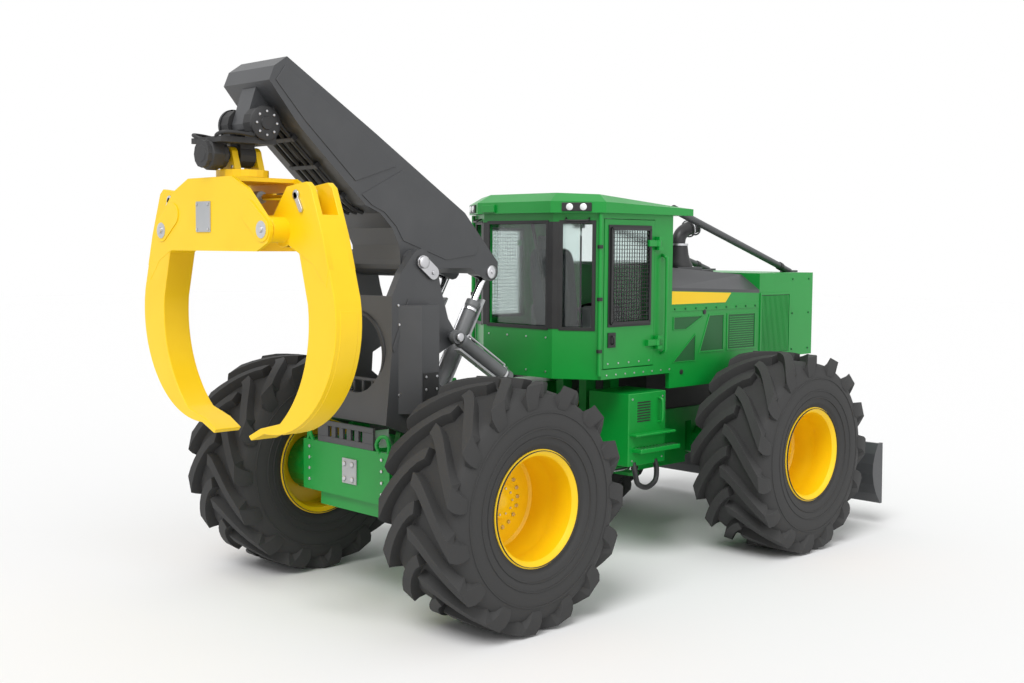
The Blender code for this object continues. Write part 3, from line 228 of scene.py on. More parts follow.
def loft(rows: Array, closed: bool = False) -> Block:
    """Surface over a grid of points S(i, j); j runs round each section, i from section to section.

    Args:
        rows: Array of shape (sections, points in a section, 3).
        closed: Joins the last section to the first; otherwise both ends get a flat cap.

    Returns:
        The closed surface.
    """
    index = np.arange(rows.shape[0] * rows.shape[1]).reshape(rows.shape[:2])
    beside = np.roll(index, -1, axis=1)
    low, low_beside = (index, beside) if closed else (index[:-1], beside[:-1])
    high, high_beside = ((np.roll(index, -1, 0), np.roll(beside, -1, 0)) if closed
                         else (index[1:], beside[1:]))
    faces = np.stack([low, low_beside, high_beside, high], -1).reshape(-1, 4).tolist()
    if not closed:
        faces += [index[0][::-1].tolist(), index[-1].tolist()]
    return Block(rows.reshape(-1, 3), faces)


def prism(outline: list[tuple[float, float]], axis: Axis, low: float, high: float) -> Block:
    """An outline carried straight along an axis: S(i, j) = outline(j) at depth low or high."""
    flat = np.asarray(outline, float)
    rows = np.stack([np.column_stack([flat, np.full(len(flat), depth)]) for depth in (low, high)])
    return loft(rows[:, :, list(axis.value)])


def ring_plate(outer: list[tuple[float, float]], inner: list[tuple[float, float]], axis: Axis, low: float,
               high: float) -> Block:
    """A flat frame between two outlines of as many points.

    S(i, j) runs through outer at low, inner at low, inner at high and outer at high.
    """
    rows = [np.column_stack([np.asarray(line, float), np.full(len(line), depth)])
            for line, depth in ((outer, low), (inner, low), (inner, high), (outer, high))]
    return loft(np.stack(rows)[:, :, list(axis.value)], closed=True)


def oblong(low: tuple[float, float], high: tuple[float, float]) -> list[tuple[float, float]]:
    """Corners of a rectangle."""
    return [low, (high[0], low[1]), high, (low[0], high[1])]


def arc(centre: tuple[float, float], radius: float, first: float, last: float,
        steps: int = 12) -> list[tuple[float, float]]:
    """Points on an arc between two angles in degrees."""
    t = np.radians(np.linspace(first, last, steps + 1))
    return list(zip(centre[0] + radius * np.cos(t), centre[1] + radius * np.sin(t)))


def slotted(start: tuple[float, float], end: tuple[float, float],
            radius: float) -> list[tuple[float, float]]:
    """Outline of a bar with round ends, from one centre to the other."""
    lean = math.degrees(math.atan2(end[1] - start[1], end[0] - start[0]))
    return arc(end, radius, lean - 90, lean + 90) + arc(start, radius, lean + 90, lean + 270)


def torus(ring: float, thick: float, centre: Array, axis: Array, sides: int, around: int) -> Block:
    """A round bar bent into a ring: the circle (thick sin t, ring + thick cos t) turned round the axis."""
    t = np.linspace(0, math.tau, around, endpoint=False)
    profile = list(zip(thick * np.sin(t), ring + thick * np.cos(t)))
    return turned(profile, centre, axis, sides, closed=True)


def eye_ring(centre: Array, axis: Array) -> Block:
    """The eye at the end of a cylinder, round its pin."""
    section = [(-0.025, 0.029), (-0.025, 0.055), (0.025, 0.055), (0.025, 0.029)]
    return turned(section, centre, axis, 32, closed=True)


def pin_end(centre: Array, axis: Array) -> Block:
    """The chamfered end of a pin, standing out along the axis."""
    return turned([(0, 0.036), (0.012, 0.036), (0.016, 0.028)], centre, axis, 28)


def pillow(centre: tuple[float, float, float], half: tuple[float, float, float], lean: float = 0.0,
           power: float = 0.32) -> Block:
    """A stuffed block with soft edges and a crowned face.

    S(u, v) = centre + half * (c(v) c(u), c(v) s(u), s(v)), where c and s are cosine and sine raised
    to power with their sign kept; x then moves by lean * z.
    """
    v = np.linspace(-math.pi / 2, math.pi / 2, 25)[1:-1, None]
    u = np.linspace(0, math.tau, 48, endpoint=False)[None]

    def rounded(value: Array) -> Array:
        return np.sign(value) * np.abs(value) ** power

    grid = np.stack(np.broadcast_arrays(rounded(np.cos(v)) * rounded(np.cos(u)),
                                        rounded(np.cos(v)) * rounded(np.sin(u)), rounded(np.sin(v))), -1)
    grid = grid * np.asarray(half, float)
    grid[..., 0] += lean * grid[..., 2]
    return loft(grid + np.asarray(centre, float))


def box(x: tuple[float, float], y: tuple[float, float], z: tuple[float, float]) -> Block:
    """A rectangular block between two corners."""
    return prism([(x[0], y[0]), (x[1], y[0]), (x[1], y[1]), (x[0], y[1])], Axis.Z, *z)


def square_to(direction: Array) -> tuple[Array, Array]:
    """Two unit vectors square to a direction and to each other."""
    unit = np.asarray(direction, float) / np.linalg.norm(direction)
    aid = np.eye(3)[np.argmin(np.abs(unit))]
    first = np.cross(unit, aid)
    first /= np.linalg.norm(first)
    return first, np.cross(unit, first)


def turned(profile: list[tuple[float, float]], centre: Array, axis: Array, sides: int = 32,
           closed: bool = False) -> Block:
    """A profile turned round an axis.

    S(i, t) = centre + along(i) a + radius(i) (cos t b + sin t c), with a the unit axis and b, c
    square to it.

    Args:
        profile: Pairs of distance along the axis and radius.
        centre: Point of the axis at distance 0.
        axis: Direction of the axis.
        sides: Steps round it.
        closed: The profile is a closed loop.

    Returns:
        The turned surface.
    """
    a = np.asarray(axis, float) / np.linalg.norm(axis)
    b, c = square_to(a)
    t = np.linspace(0, math.tau, sides, endpoint=False)[None, :, None]
    along, radius = np.asarray(profile, float).T[:, :, None, None]
    return loft(np.asarray(centre, float) + along * a + radius * (np.cos(t) * b + np.sin(t) * c), closed)


def spline(knots: list[tuple[float, ...]], per: int = 6) -> Array:
    """Smooth curve through knots, by the Catmull-Rom cubic between each pair."""
    k = np.asarray(knots, float)
    k = np.vstack([2 * k[0] - k[1], k, 2 * k[-1] - k[-2]])
    t = np.linspace(0, 1, per, endpoint=False)[None, :, None]
    p0, p1, p2, p3 = (k[i:len(k) - 3 + i][:, None] for i in range(4))
    body = 0.5 * (2 * p1 + (p2 - p0) * t + (2 * p0 - 5 * p1 + 4 * p2 - p3) * t ** 2
                  + (3 * p1 - p0 - 3 * p2 + p3) * t ** 3)
    return np.vstack([body.reshape(-1, k.shape[1]), k[-2:-1]])


def tube(path: Array, radius: float, sides: int = 12) -> Block:
    """A round section carried along a path.

    S(s, t) = path(s) + radius (cos t n(s) + sin t b(s)), where n and b are square to the path and
    start from the axis that the path follows least.
    """
    path = np.asarray(path, float)
    tangent = np.gradient(path, axis=0)
    tangent /= np.linalg.norm(tangent, axis=1, keepdims=True)
    aid = np.eye(3)[np.argmin(np.abs(tangent).sum(axis=0))]
    n = np.cross(tangent, aid)
    n /= np.linalg.norm(n, axis=1, keepdims=True)
    b = np.cross(tangent, n)
    t = np.linspace(0, math.tau, sides, endpoint=False)[None, :, None]
    return loft(path[:, None] + radius * (np.cos(t) * n[:, None] + np.sin(t) * b[:, None]))


def bars(starts: Array, ends: Array, across: Array, depth: Array) -> Block:
    """A straight bar from each start to its end: corners at +-across +-depth from both."""
    signs = np.array([(-1, -1), (1, -1), (1, 1), (-1, 1)], float)
    ring = signs[:, :1] * np.asarray(across, float) + signs[:, 1:] * np.asarray(depth, float)
    points = np.stack([starts[:, None] + ring, ends[:, None] + ring], 1)
    pattern = loft(np.zeros((2, 4, 3))).faces
    faces = [[i + 8 * k for i in face] for k in range(len(starts)) for face in pattern]
    return Block(points.reshape(-1, 3), faces)


def screen(corner: Array, along: Array, up: Array, pitch: float, wire: float) -> Block:
    """A welded mesh over the parallelogram corner, corner + along, corner + up, with its border."""
    corner, along, up = (np.asarray(v, float) for v in (corner, along, up))
    width, height = np.linalg.norm(along), np.linalg.norm(up)
    a, b = along / width, up / height
    out = np.cross(a, b)
    parts = []
    for run, rise, length, span in ((a, b, width, height), (b, a, height, width)):
        steps = np.arange(pitch, span - pitch / 2, pitch)[:, None]
        starts = corner + rise * steps
        parts.append(bars(starts, starts + run * length, rise * wire / 2, out * wire / 2))
    rim = 2.5 * wire
    for start, run, length, rise in ((corner, a, width, b), (corner + up, a, width, b),
                                     (corner, b, height, a), (corner + along, b, height, a)):
        parts.append(bars(start[None], (start + run * length)[None], rise * rim, out * rim))
    return merged(parts)


def bolt_heads(centres: list[tuple[float, float, float]], axis: tuple[float, float, float],
               radius: float = 0.014) -> Block:
    """A six-sided head at each centre, standing out along the axis."""
    head = turned([(0, radius), (radius * 0.6, radius), (radius * 0.8, radius * 0.8)], (0, 0, 0), axis, 6)
    return head.copies(np.asarray(centres, float))


def circle(centre: tuple[float, float, float], radius: float, count: int, axis: Axis,
           start: float = 0.0) -> Array:
    """Points spaced evenly on a circle square to an axis."""
    t = start + np.linspace(0, math.tau, count, endpoint=False)
    flat = np.column_stack([radius * np.cos(t), radius * np.sin(t), np.zeros(count)])
    return np.asarray(centre, float) + flat[:, list(axis.value)]


def piece(name: str, block: Block, finish: Finish, body: str, bevel: float = 0.0,
          stands_for: tuple[str, ...] = ()) -> bpy.types.Object:
    """Makes a finished piece of the object.

    Args:
        name: The piece's name.
        block: Its closed surfaces, in place.
        finish: Its surface.
        body: The body it rides on.
        bevel: Width of the rounding on its edges.
        stands_for: CAD nodes that it replaces.

    Returns:
        The new object, riding on its body.
    """
    mesh = bpy.data.meshes.new(name)
    mesh.from_pydata(block.points.tolist(), [], block.faces)
    work = bmesh.new()
    work.from_mesh(mesh)
    bmesh.ops.recalc_face_normals(work, faces=work.faces)
    work.to_mesh(mesh)
    work.free()
    mesh.shade_smooth()
    mesh.set_sharp_from_angle(angle=math.radians(32))
    made = bpy.data.objects.new(name, mesh)
    bpy.context.scene.collection.objects.link(made)
    mesh.materials.append(finish.material())
    if bevel:
        rounding = made.modifiers.new("rounding", "BEVEL")
        rounding.width = bevel
        rounding.segments = 2
        rounding.limit_method = "ANGLE"
        rounding.angle_limit = math.radians(32)
        rounding.harden_normals = True
    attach(made, body)
    if stands_for:
        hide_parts(*stands_for)
    LOG.info("%s: %d faces on %s", name, len(block.faces), body)
    return made


# ---------------------------------------------------------------- studio
@dataclass
class Studio:
    """Camera, lamps, world and floor."""

    place: tuple[float, float, float] = (-8.2917, -8.0110, 2.8414)
    yaw: float = -0.7780
    pitch: float = 0.0745
    roll: float = 0.0071
    lens: float = 44.42

    def camera(self) -> None:
        """A camera looking forward and a little down, from behind on the right."""
        back = np.array([math.sin(self.yaw) * math.cos(self.pitch),
                         -math.cos(self.yaw) * math.cos(self.pitch), math.sin(self.pitch)])
        right = np.cross(-back, UP)
        right /= np.linalg.norm(right)
        up = np.cross(right, -back)
        c, s = math.cos(self.roll), math.sin(self.roll)
        columns = np.column_stack([c * right + s * up, -s * right + c * up, back])
        data = bpy.data.cameras.new("camera")
        data.lens, data.sensor_width = self.lens, 36.0
        made = bpy.data.objects.new("camera", data)
        made.matrix_world = Matrix.Translation(self.place) @ Matrix(columns.tolist()).to_4x4()
        bpy.context.scene.collection.objects.link(made)
        bpy.context.scene.camera = made

    def lamp(self, name: str, kind: str, power: float, spread: float, aim: tuple[float, float, float],
             place: tuple[float, float, float] = (0, 0, 8)) -> None:
        """A lamp pointing along aim; spread is its angle or its size."""
        data = bpy.data.lights.new(name, kind)
        data.energy = power
        if kind == "SUN":
            data.angle = spread
        else:
            data.size = spread
        made = bpy.data.objects.new(name, data)
        made.location = place
        made.rotation_euler = Vector(aim).to_track_quat("-Z", "Y").to_euler()
        bpy.context.scene.collection.objects.link(made)

    def world(self) -> None:
        """Soft light from all round; camera, glossy and transmitted rays see white."""
        world = bpy.data.worlds.new("studio")
        world.use_nodes = True
        bpy.context.scene.world = world
        nodes, links = world.node_tree.nodes, world.node_tree.links
        soft = nodes["Background"]
        soft.inputs["Color"].default_value = (1, 1, 1, 1)
        soft.inputs["Strength"].default_value = 0.55
        white = nodes.new("ShaderNodeBackground")
        white.inputs["Color"].default_value = (1, 1, 1, 1)
        path = nodes.new("ShaderNodeLightPath")
        seen = path.outputs["Is Camera Ray"]
        for ray in ("Is Glossy Ray", "Is Transmission Ray"):
            either = nodes.new("ShaderNodeMath")
            either.operation = "MAXIMUM"
            links.new(seen, either.inputs[0])
            links.new(path.outputs[ray], either.inputs[1])
            seen = either.outputs[0]
        pick = nodes.new("ShaderNodeMixShader")
        links.new(seen, pick.inputs[0])
        links.new(soft.outputs[0], pick.inputs[1])
        links.new(white.outputs[0], pick.inputs[2])
        links.new(pick.outputs[0], nodes["World Output"].inputs["Surface"])

    def floor(self) -> None:
        """A pale floor, wide enough to fill the view."""
        reach = 60.0
        mesh = bpy.data.meshes.new("floor")
        mesh.from_pydata([(-reach, -reach, 0), (reach, -reach, 0), (reach, reach, 0), (-reach, reach, 0)],
                         [], [(0, 1, 2, 3)])
        made = bpy.data.objects.new("floor", mesh)
        bpy.context.scene.collection.objects.link(made)
        paint = bpy.data.materials.new("pale_floor")
        paint.use_nodes = True
        shader = paint.node_tree.nodes["Principled BSDF"]
        shader.inputs["Base Color"].default_value = (0.90, 0.90, 0.90, 1)
        shader.inputs["Roughness"].default_value = 0.9
        shader.inputs["Specular IOR Level"].default_value = 0.1
        mesh.materials.append(paint)

    def build(self) -> None:
        """Sets up the whole studio."""
        bpy.context.scene.view_settings.view_transform = "Standard"
        self.camera()
        self.world()
        self.floor()
        self.lamp("key", "SUN", 1.9, 0.5, (0.75, 0.35, -1.0))
        self.lamp("fill", "SUN", 0.6, 0.9, (0.1, 1.0, -0.55))


# ---------------------------------------------------------------- wheels
@dataclass
class Wheel:
    """A lugged forestry tyre on a deep yellow rim."""

    end: str
    side: str
    radius: float = 0.935
    half_section: float = 0.3875
    half_tread: float = 0.368
    crown: float = 0.858
    lugs: int = 15
    sweep: float = 0.50
    overlap: float = 0.035
    bolt_circle: float = 0.228
    disc: float = -0.12
    centre: Array = field(init=False)

    def __post_init__(self) -> None:
        """Takes the wheel's middle from the frame."""
        low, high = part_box(f"tyre_{self.end}_{self.side}")
        self.centre = (np.array(low) + np.array(high)) / 2
        self.centre[2] = self.radius
        self.out = SIDES[self.side]
        self.body = f"wheel_{self.end}_{self.side}"

    def place(self, angle: Array, across: Array, radius: Array) -> Array:
        """Points on the wheel: (r sin angle, across, r cos angle) from its middle, outboard positive."""
        local = np.stack(np.broadcast_arrays(radius * np.sin(angle), across * self.out,
                                             radius * np.cos(angle)), -1)
        return local + self.centre

    def ring(self, profile: Array, steps: int) -> Block:
        """A closed profile of (across, radius) carried round the wheel."""
        angle = np.linspace(0, math.tau, steps, endpoint=False)[:, None]
        across, radius = np.asarray(profile, float).T
        return loft(self.place(angle, across[None], radius[None]), closed=True)

    def carcass(self) -> Block:
        """Tyre body: a spline through the half section and its mirror image, turned about the axle."""
        w = self.half_section
        half = [(0.0, self.crown), (0.55 * w, self.crown - 0.004), (0.84 * w, self.crown - 0.022),
                (0.955 * w, self.crown - 0.085), (w, 0.66), (0.985 * w, 0.57), (0.945 * w, 0.51),
                (0.925 * w, 0.485), (0.885 * w, 0.462), (0.862 * w, 0.436), (0.80 * w, 0.425)]
        knots = half + [(-y, r) for y, r in half[:0:-1]]
        return self.ring(spline(knots + [knots[0]], 4)[:-1], 96)

    def sidewall_ribs(self) -> Block:
        """Three thin raised rings on each sidewall."""
        parts = []
        for radius, across in ((0.535, 0.972), (0.60, 1.0), (0.715, 0.992)):
            y = across * self.half_section
            section = [(y - 0.02, radius - 0.010), (y + 0.004, radius - 0.004), (y + 0.004, radius + 0.004),
                       (y - 0.02, radius + 0.010)]
            parts += [self.ring(section, 96), self.ring([(-a, r) for a, r in section], 96)]
        return merged(parts)

    def lug_rows(self) -> tuple[Array, ...]:
        """Sections of a lug from its nose at the centre, over the shoulder and down the sidewall.

        Returns:
            Outer across and radius, inner across and radius, angle and half width of each row. The
            angle falls behind the nose as sweep t^1.4, so the bar bends.
        """
        t = np.linspace(0, 1, 8)
        outer_y = -self.overlap + t * (self.half_tread + self.overlap)
        outer_r = self.radius - 0.012 * t ** 2
        angle = -self.sweep * t ** 1.4
        half = 0.052 + 0.038 * t
        down = np.array([(0.379, 0.875), (0.3875, 0.825), (0.3875, 0.775), (0.380, 0.745)])
        lag = np.array([0.035, 0.055, 0.062, 0.065])
        across = np.concatenate([outer_y, down[:, 0]])
        radius = np.concatenate([outer_r, down[:, 1]])
        inner_y = np.concatenate([outer_y * 0.94, np.full(4, 0.32)])
        inner_r = np.concatenate([np.full(8, self.crown - 0.04), (0.80, 0.77, 0.745, 0.735)])
        angle = np.concatenate([angle, angle[-1] - lag])
        half = np.concatenate([half, (0.086, 0.074, 0.062, 0.050)])
        return across, radius, inner_y, inner_r, angle, half

    def tread(self) -> Block:
        """Two rows of swept bars: S(k, i, j) is row i of bar k, with four corners j."""
        across, radius, inner_y, inner_r, angle, half = self.lug_rows()
        corner = np.array([1.30, 0.85, -0.85, -1.30])
        deep = np.array([True, False, False, True])
        r = np.where(deep, inner_r[:, None], radius[:, None])
        y = np.where(deep, inner_y[:, None], across[:, None])
        swing = angle[:, None] + corner * half[:, None] / radius[:, None]
        pitch = math.tau / self.lugs
        parts = []
        for hand, start in ((1.0, 0.0), (-1.0, pitch / 2)):
            for k in range(self.lugs):
                parts.append(loft(self.place(swing + start + k * pitch, hand * y, r)))
        return merged(parts)

    def rim(self) -> Block:
        """Rim and disc in one turned section, with rolled flanges."""
        d = self.disc
        section = [(0.347, 0.430), (0.343, 0.440), (0.332, 0.442), (0.324, 0.434), (0.322, 0.410),
                   (-0.322, 0.410), (-0.324, 0.434), (-0.332, 0.442), (-0.343, 0.440), (-0.347, 0.430),
                   (-0.338, 0.405), (-0.320, 0.388), (d - 0.04, 0.384), (d - 0.012, 0.365),
                   (d - 0.012, 0.104), (d + 0.012, 0.104), (d + 0.012, 0.350), (d + 0.03, 0.372),
                   (0.06, 0.380), (0.08, 0.386), (0.14, 0.386), (0.16, 0.380), (0.315, 0.388),
                   (0.336, 0.405)]
        return self.ring(section, 96)

    def fasteners(self) -> Block:
        """Bolt ring of the disc, and the bolts of the hub cap."""
        x, y, z = self.centre
        face = y + self.out * (self.disc + 0.012)
        axis = (0, self.out, 0)
        nuts = circle((x, face, z), self.bolt_circle, 20, Axis.Y)
        cap = circle((x, face + self.out * 0.075, z), 0.10, 10, Axis.Y)
        return merged([bolt_heads(nuts, axis, 0.017), bolt_heads(cap, axis, 0.010)])

    def hub(self) -> Block:
        """Planetary hub cover, stepped and domed."""
        centre = self.centre + (0, self.out * (self.disc + 0.012), 0)
        return turned([(0.0, 0.175), (0.018, 0.175), (0.022, 0.135), (0.072, 0.125), (0.078, 0.08),
                       (0.10, 0.05), (0.104, 0.02)], centre, (0, self.out, 0), 40)

    def valve(self) -> Block:
        """Inflation valve, bent along the rim's wall."""
        x, y, z = self.centre
        return tube(spline([(x - 0.30, y + self.out * 0.02, z + 0.19),
                            (x - 0.28, y + self.out * 0.09, z + 0.18),
                            (x - 0.24, y + self.out * 0.12, z + 0.16)]), 0.010, 10)

    def build(self) -> None:
        """Makes the wheel's pieces."""
        name = f"{self.end}_{self.side}"
        tyre = merged([self.carcass(), self.sidewall_ribs(), self.tread()])
        piece(f"lugged_tyre_{name}", tyre, RUBBER, self.body, 0.006, (f"tyre_{name}",))
        piece(f"deep_rim_{name}", self.rim(), YELLOW, self.body, 0.0, (f"rim_{name}",))
        piece(f"wheel_nuts_{name}", self.fasteners(), STEEL, self.body)
        piece(f"hub_cover_{name}", self.hub(), YELLOW, self.body)
        piece(f"valve_{name}", self.valve(), BLACK, self.body)


# ---------------------------------------------------------------- sub-assemblies
@dataclass
class Assembly:
    """A sub-assembly drawn from the middle of one axle."""

    origin: tuple[float, float, float]

    def add(self, name: str, block: Block, finish: Finish, body: str, bevel: float = 0.0,
            stands_for: tuple[str, ...] = ()) -> bpy.types.Object:
        """Makes a piece from a block drawn in this sub-assembly's own place."""
        return piece(name, block.copies(self.origin), finish, body, bevel, stands_for)


@dataclass
class Cab(Assembly):
    """Cab with guarded doors, glazing seals, lamps, handrails and the operator's seat."""

    half: float = 0.80
    rear: float = -2.243
    rear_half: float = 0.436
    corner: float = -2.01
    glass: tuple[float, float] = (1.20, 2.13)
    door_x: tuple[float, float] = (-1.984, -1.306)
    door_z: tuple[float, float] = (0.856, 2.154)
    pane_x: tuple[float, float] = (-1.924, -1.366)
    pane_z: tuple[float, float] = (1.23, 2.094)
    hinge: tuple[float, float] = (-1.282, 0.83)
    hinge_heights: tuple[float, float] = (1.03, 1.92)
    seat_x: float = -1.525
    floor: float = 0.825

    def corner_place(self, block: Block) -> Block:
        """A block drawn on the left corner panel: x along it, y outwards."""
        run = (self.corner - self.rear, self.half - self.rear_half)
        middle = (self.rear + run[0] / 2, self.rear_half + run[1] / 2, 0.0)
        return block.yawed(math.atan2(run[1], run[0]), middle)

    def door(self, side: str) -> None:
        """A door: frame with hinge straps, pane, guard and latch."""
        s, body = SIDES[side], f"door_{side}"
        inner = oblong((self.pane_x[0], self.pane_z[0]), (self.pane_x[1], self.pane_z[1]))
        outer = oblong((self.door_x[0], self.door_z[0]), (self.door_x[1], self.door_z[1]))
        parts = [ring_plate(outer, inner, Axis.Y, 0.760, 0.804)]
        for z in self.hinge_heights:
            parts.append(box((self.door_x[1] - 0.11, self.hinge[0]), (0.803, 0.838),
                             (z + 0.001, z + 0.058)))
            parts.append(turned([(0.001, 0.024), (0.058, 0.024)], (*self.hinge, z), UP, 24))
        self.add(f"door_frame_{side}", merged(parts).on(s), GREEN, body, 0.004, (f"door_{side}",))
        pane = box((self.pane_x[0] - 0.01, self.pane_x[1] + 0.01), (0.770, 0.778),
                   (self.pane_z[0] - 0.01, self.pane_z[1] + 0.01))
        self.add(f"door_pane_{side}", pane.on(s), GLASS, body)
        seal = ring_plate(oblong((self.pane_x[0] - 0.012, self.pane_z[0] - 0.012),
                                 (self.pane_x[1] + 0.012, self.pane_z[1] + 0.012)),
                          oblong((self.pane_x[0] + 0.016, self.pane_z[0] + 0.016),
                                 (self.pane_x[1] - 0.016, self.pane_z[1] - 0.016)), Axis.Y, 0.802, 0.812)
        self.add(f"door_seal_{side}", seal.on(s), BLACK, body, 0.003)
        wide, tall = self.pane_x[1] - self.pane_x[0] - 0.04, self.pane_z[1] - self.pane_z[0] - 0.04
        guard = screen((self.pane_x[0] + 0.02, 0.816, self.pane_z[0] + 0.02), (wide, 0, 0), (0, 0, tall),
                       0.034, 0.005)
        self.add(f"door_guard_{side}", guard.on(s), BLACK, body)
        x, z = self.door_x[0] + 0.05, 1.04
        latch = merged([box((x, x + 0.10), (0.803, 0.815), (z, z + 0.13)),
                        tube(spline([(x + 0.05, 0.812, z + 0.03), (x + 0.05, 0.835, z + 0.04),
                                     (x + 0.05, 0.835, z + 0.09), (x + 0.05, 0.812, z + 0.10)]), 0.009)])
        self.add(f"door_latch_{side}", latch.on(s), BLACK, body, 0.003)
        bolts = bolt_heads([(x, 0.804, 0.90) for x in np.linspace(-1.93, -1.37, 5)], ACROSS, 0.009)
        self.add(f"door_bolts_{side}", bolts.on(s), STEEL, body)

    def seals(self) -> None:
        """Black seals of the rear and corner windows, with the posts between them covered."""
        low, high = self.glass
        rear_in = self.rear_half - 0.06
        rear = ring_plate(oblong((-rear_in - 0.01, low - 0.012), (rear_in + 0.01, high + 0.012)),
                          oblong((-rear_in + 0.02, low + 0.018), (rear_in - 0.02, high - 0.018)),
                          Axis.X, self.rear - 0.008, self.rear + 0.004)
        run = math.hypot(self.corner - self.rear, self.half - self.rear_half) / 2
        corner = ring_plate(oblong((-run + 0.055, low - 0.012), (run - 0.055, high + 0.012)),
                            oblong((-run + 0.088, low + 0.018), (run - 0.088, high - 0.018)),
                            Axis.Y, -0.004, 0.008)
        cover = box((-run - 0.002, -run + 0.06), (0.0005, 0.006), (low, high))
        post = box((self.rear - 0.006, self.rear - 0.0005), (rear_in, self.rear_half + 0.002), (low, high))
        blocks = [rear] + [self.corner_place(b).both() for b in (corner, cover)] + [post.both()]
        self.add("window_seals", merged(blocks), BLACK, "front_frame", 0.002)
        brace = tube([(self.rear + 0.09, -0.10, high - 0.02), (self.rear + 0.09, -0.34, low + 0.03)], 0.016)
        self.add("rear_brace", brace, BLACK, "front_frame")

    def lamps(self) -> None:
        """Twin lamps on the rear corners of the roof and one at each front corner."""
        recess = self.corner_place(box((-0.13, 0.13), (0.056, 0.074), (2.218, 2.292)))
        self.add("roof_lamp_recesses", recess.both(), BLACK, "front_frame", 0.004)
        glass = [turned([(0, 0.030), (0.006, 0.030), (0.012, 0.020), (0.014, 0.005)], (x, 0.073, 2.255),
                        ACROSS, 24) for x in (-0.06, 0.06)]
        self.add("roof_lamp_lenses", self.corner_place(merged(glass)).both(), LENS, "front_frame")
        fronts = [box((-0.90, -0.83), (0.46, 0.58), (2.10, 2.19)),
                  box((-0.875, -0.855), (0.51, 0.53), (2.18, 2.21))]
        self.add("front_lamps", merged(fronts).both(), MID_GREY, "front_frame", 0.01)
        lens = box((-0.832, -0.824), (0.475, 0.565), (2.115, 2.175))
        self.add("front_lenses", lens.both(), LENS, "front_frame", 0.003)
        block = box((self.rear - 0.085, self.rear - 0.055), (0.22, 0.38), (2.215, 2.285))
        self.add("roof_marker_blocks", block, GREEN, "front_frame", 0.006)

    def rails(self) -> None:
        """Handrails ahead of the doors, drain tubes behind them and the handle under the rear lamps."""
        rail = tube(spline([(-1.19, 0.79, 0.95), (-1.19, 0.845, 0.98), (-1.19, 0.855, 1.05),
                            (-1.19, 0.855, 1.75),
                            (-1.19, 0.845, 1.82), (-1.19, 0.79, 1.85)]), 0.014)
        drain = tube([(-2.035, 0.80, 0.80), (-2.035, 0.80, 2.20)], 0.019)
        self.add("handrails", merged([rail, drain]).both(), GREEN, "front_frame")
        clamps = [turned([(0, 0.026), (0.03, 0.026)], (-2.035, 0.80, z), UP, 20) for z in (1.0, 1.45, 1.9)]
        handle = self.corner_place(tube(spline([(-0.10, 0.0, 2.16), (-0.10, 0.035, 2.15),
                                                (-0.08, 0.045, 2.14),
                                                (0.08, 0.045, 2.14), (0.10, 0.035, 2.15),
                                                (0.10, 0.0, 2.16)]),
                                        0.008))
        self.add("rail_clamps", merged([*clamps, handle]).both(), BLACK, "front_frame")
        low = bolt_heads([(x, self.half, 0.800) for x in np.arange(-1.94, -1.05, 0.125)], ACROSS, 0.009)
        back = bolt_heads([(self.rear, y, z) for y in (-0.36, -0.12, 0.12, 0.36) for z in (0.82, 1.12)],
                          OUTWARD_REAR, 0.009)
        self.add("cab_bolts", merged([low.both(), back]), STEEL, "front_frame")

    def seat(self) -> None:
        """Seat on its pedestal between two arm consoles with control levers, and the steering wheel."""
        x, z = self.seat_x, self.floor
        cushion = pillow((x, 0, z + 0.32), (0.25, 0.26, 0.082))
        back = pillow((x - 0.245, 0, z + 0.70), (0.062, 0.24, 0.375), -0.12)
        soft = [self.add("seat_cushion", cushion, CLOTH, "front_frame", 0.0, ("seat",)),
                self.add("seat_back", back, CLOTH, "front_frame"),
                self.add("seat_headrest", pillow((x - 0.30, 0, z + 1.12), (0.04, 0.13, 0.07), -0.12), CLOTH,
                         "front_frame")]
        base = [box((x - 0.20, x + 0.15), (-0.20, 0.20), (z, z + 0.25)),
                box((x - 0.20, x + 0.18), (-0.24, 0.24), (z + 0.235, z + 0.26))]
        self.add("seat_pedestal", merged(base), BLACK, "front_frame", 0.01)
        consoles = box((x - 0.15, x + 0.25), (0.25, 0.39), (z + 0.32, z + 0.55)).both()
        self.add("arm_consoles", consoles, MID_GREY, "front_frame", 0.025)
        lever = merged([tube([(x + 0.16, 0.32, z + 0.54), (x + 0.18, 0.32, z + 0.66)], 0.010),
                        turned([(0, 0.012), (0.02, 0.024), (0.06, 0.026), (0.08, 0.014)],
                               (x + 0.178, 0.32, z + 0.65), (0.15, 0, 1), 20)])
        column = merged([tube([(-1.12, 0, z + 0.01), (-1.18, 0, z + 0.50)], 0.035),
                         turned([(0, 0.05), (0.03, 0.05)], (-1.185, 0, z + 0.49), (-0.25, 0, 1), 24)])
        hoop = torus(0.165, 0.014, (-1.19, 0, z + 0.52), (-0.25, 0, 1), 48, 12)
        spoke = tube([(-1.19, -0.16, z + 0.52), (-1.19, 0.16, z + 0.52)], 0.010)
        self.add("controls", merged([lever.both(), column, hoop, spoke]), BLACK, "front_frame")

    def build(self) -> None:
        """Makes the cab's pieces."""
        for side in SIDES:
            self.door(side)
        self.seals()
        self.lamps()
        self.rails()
        self.seat()


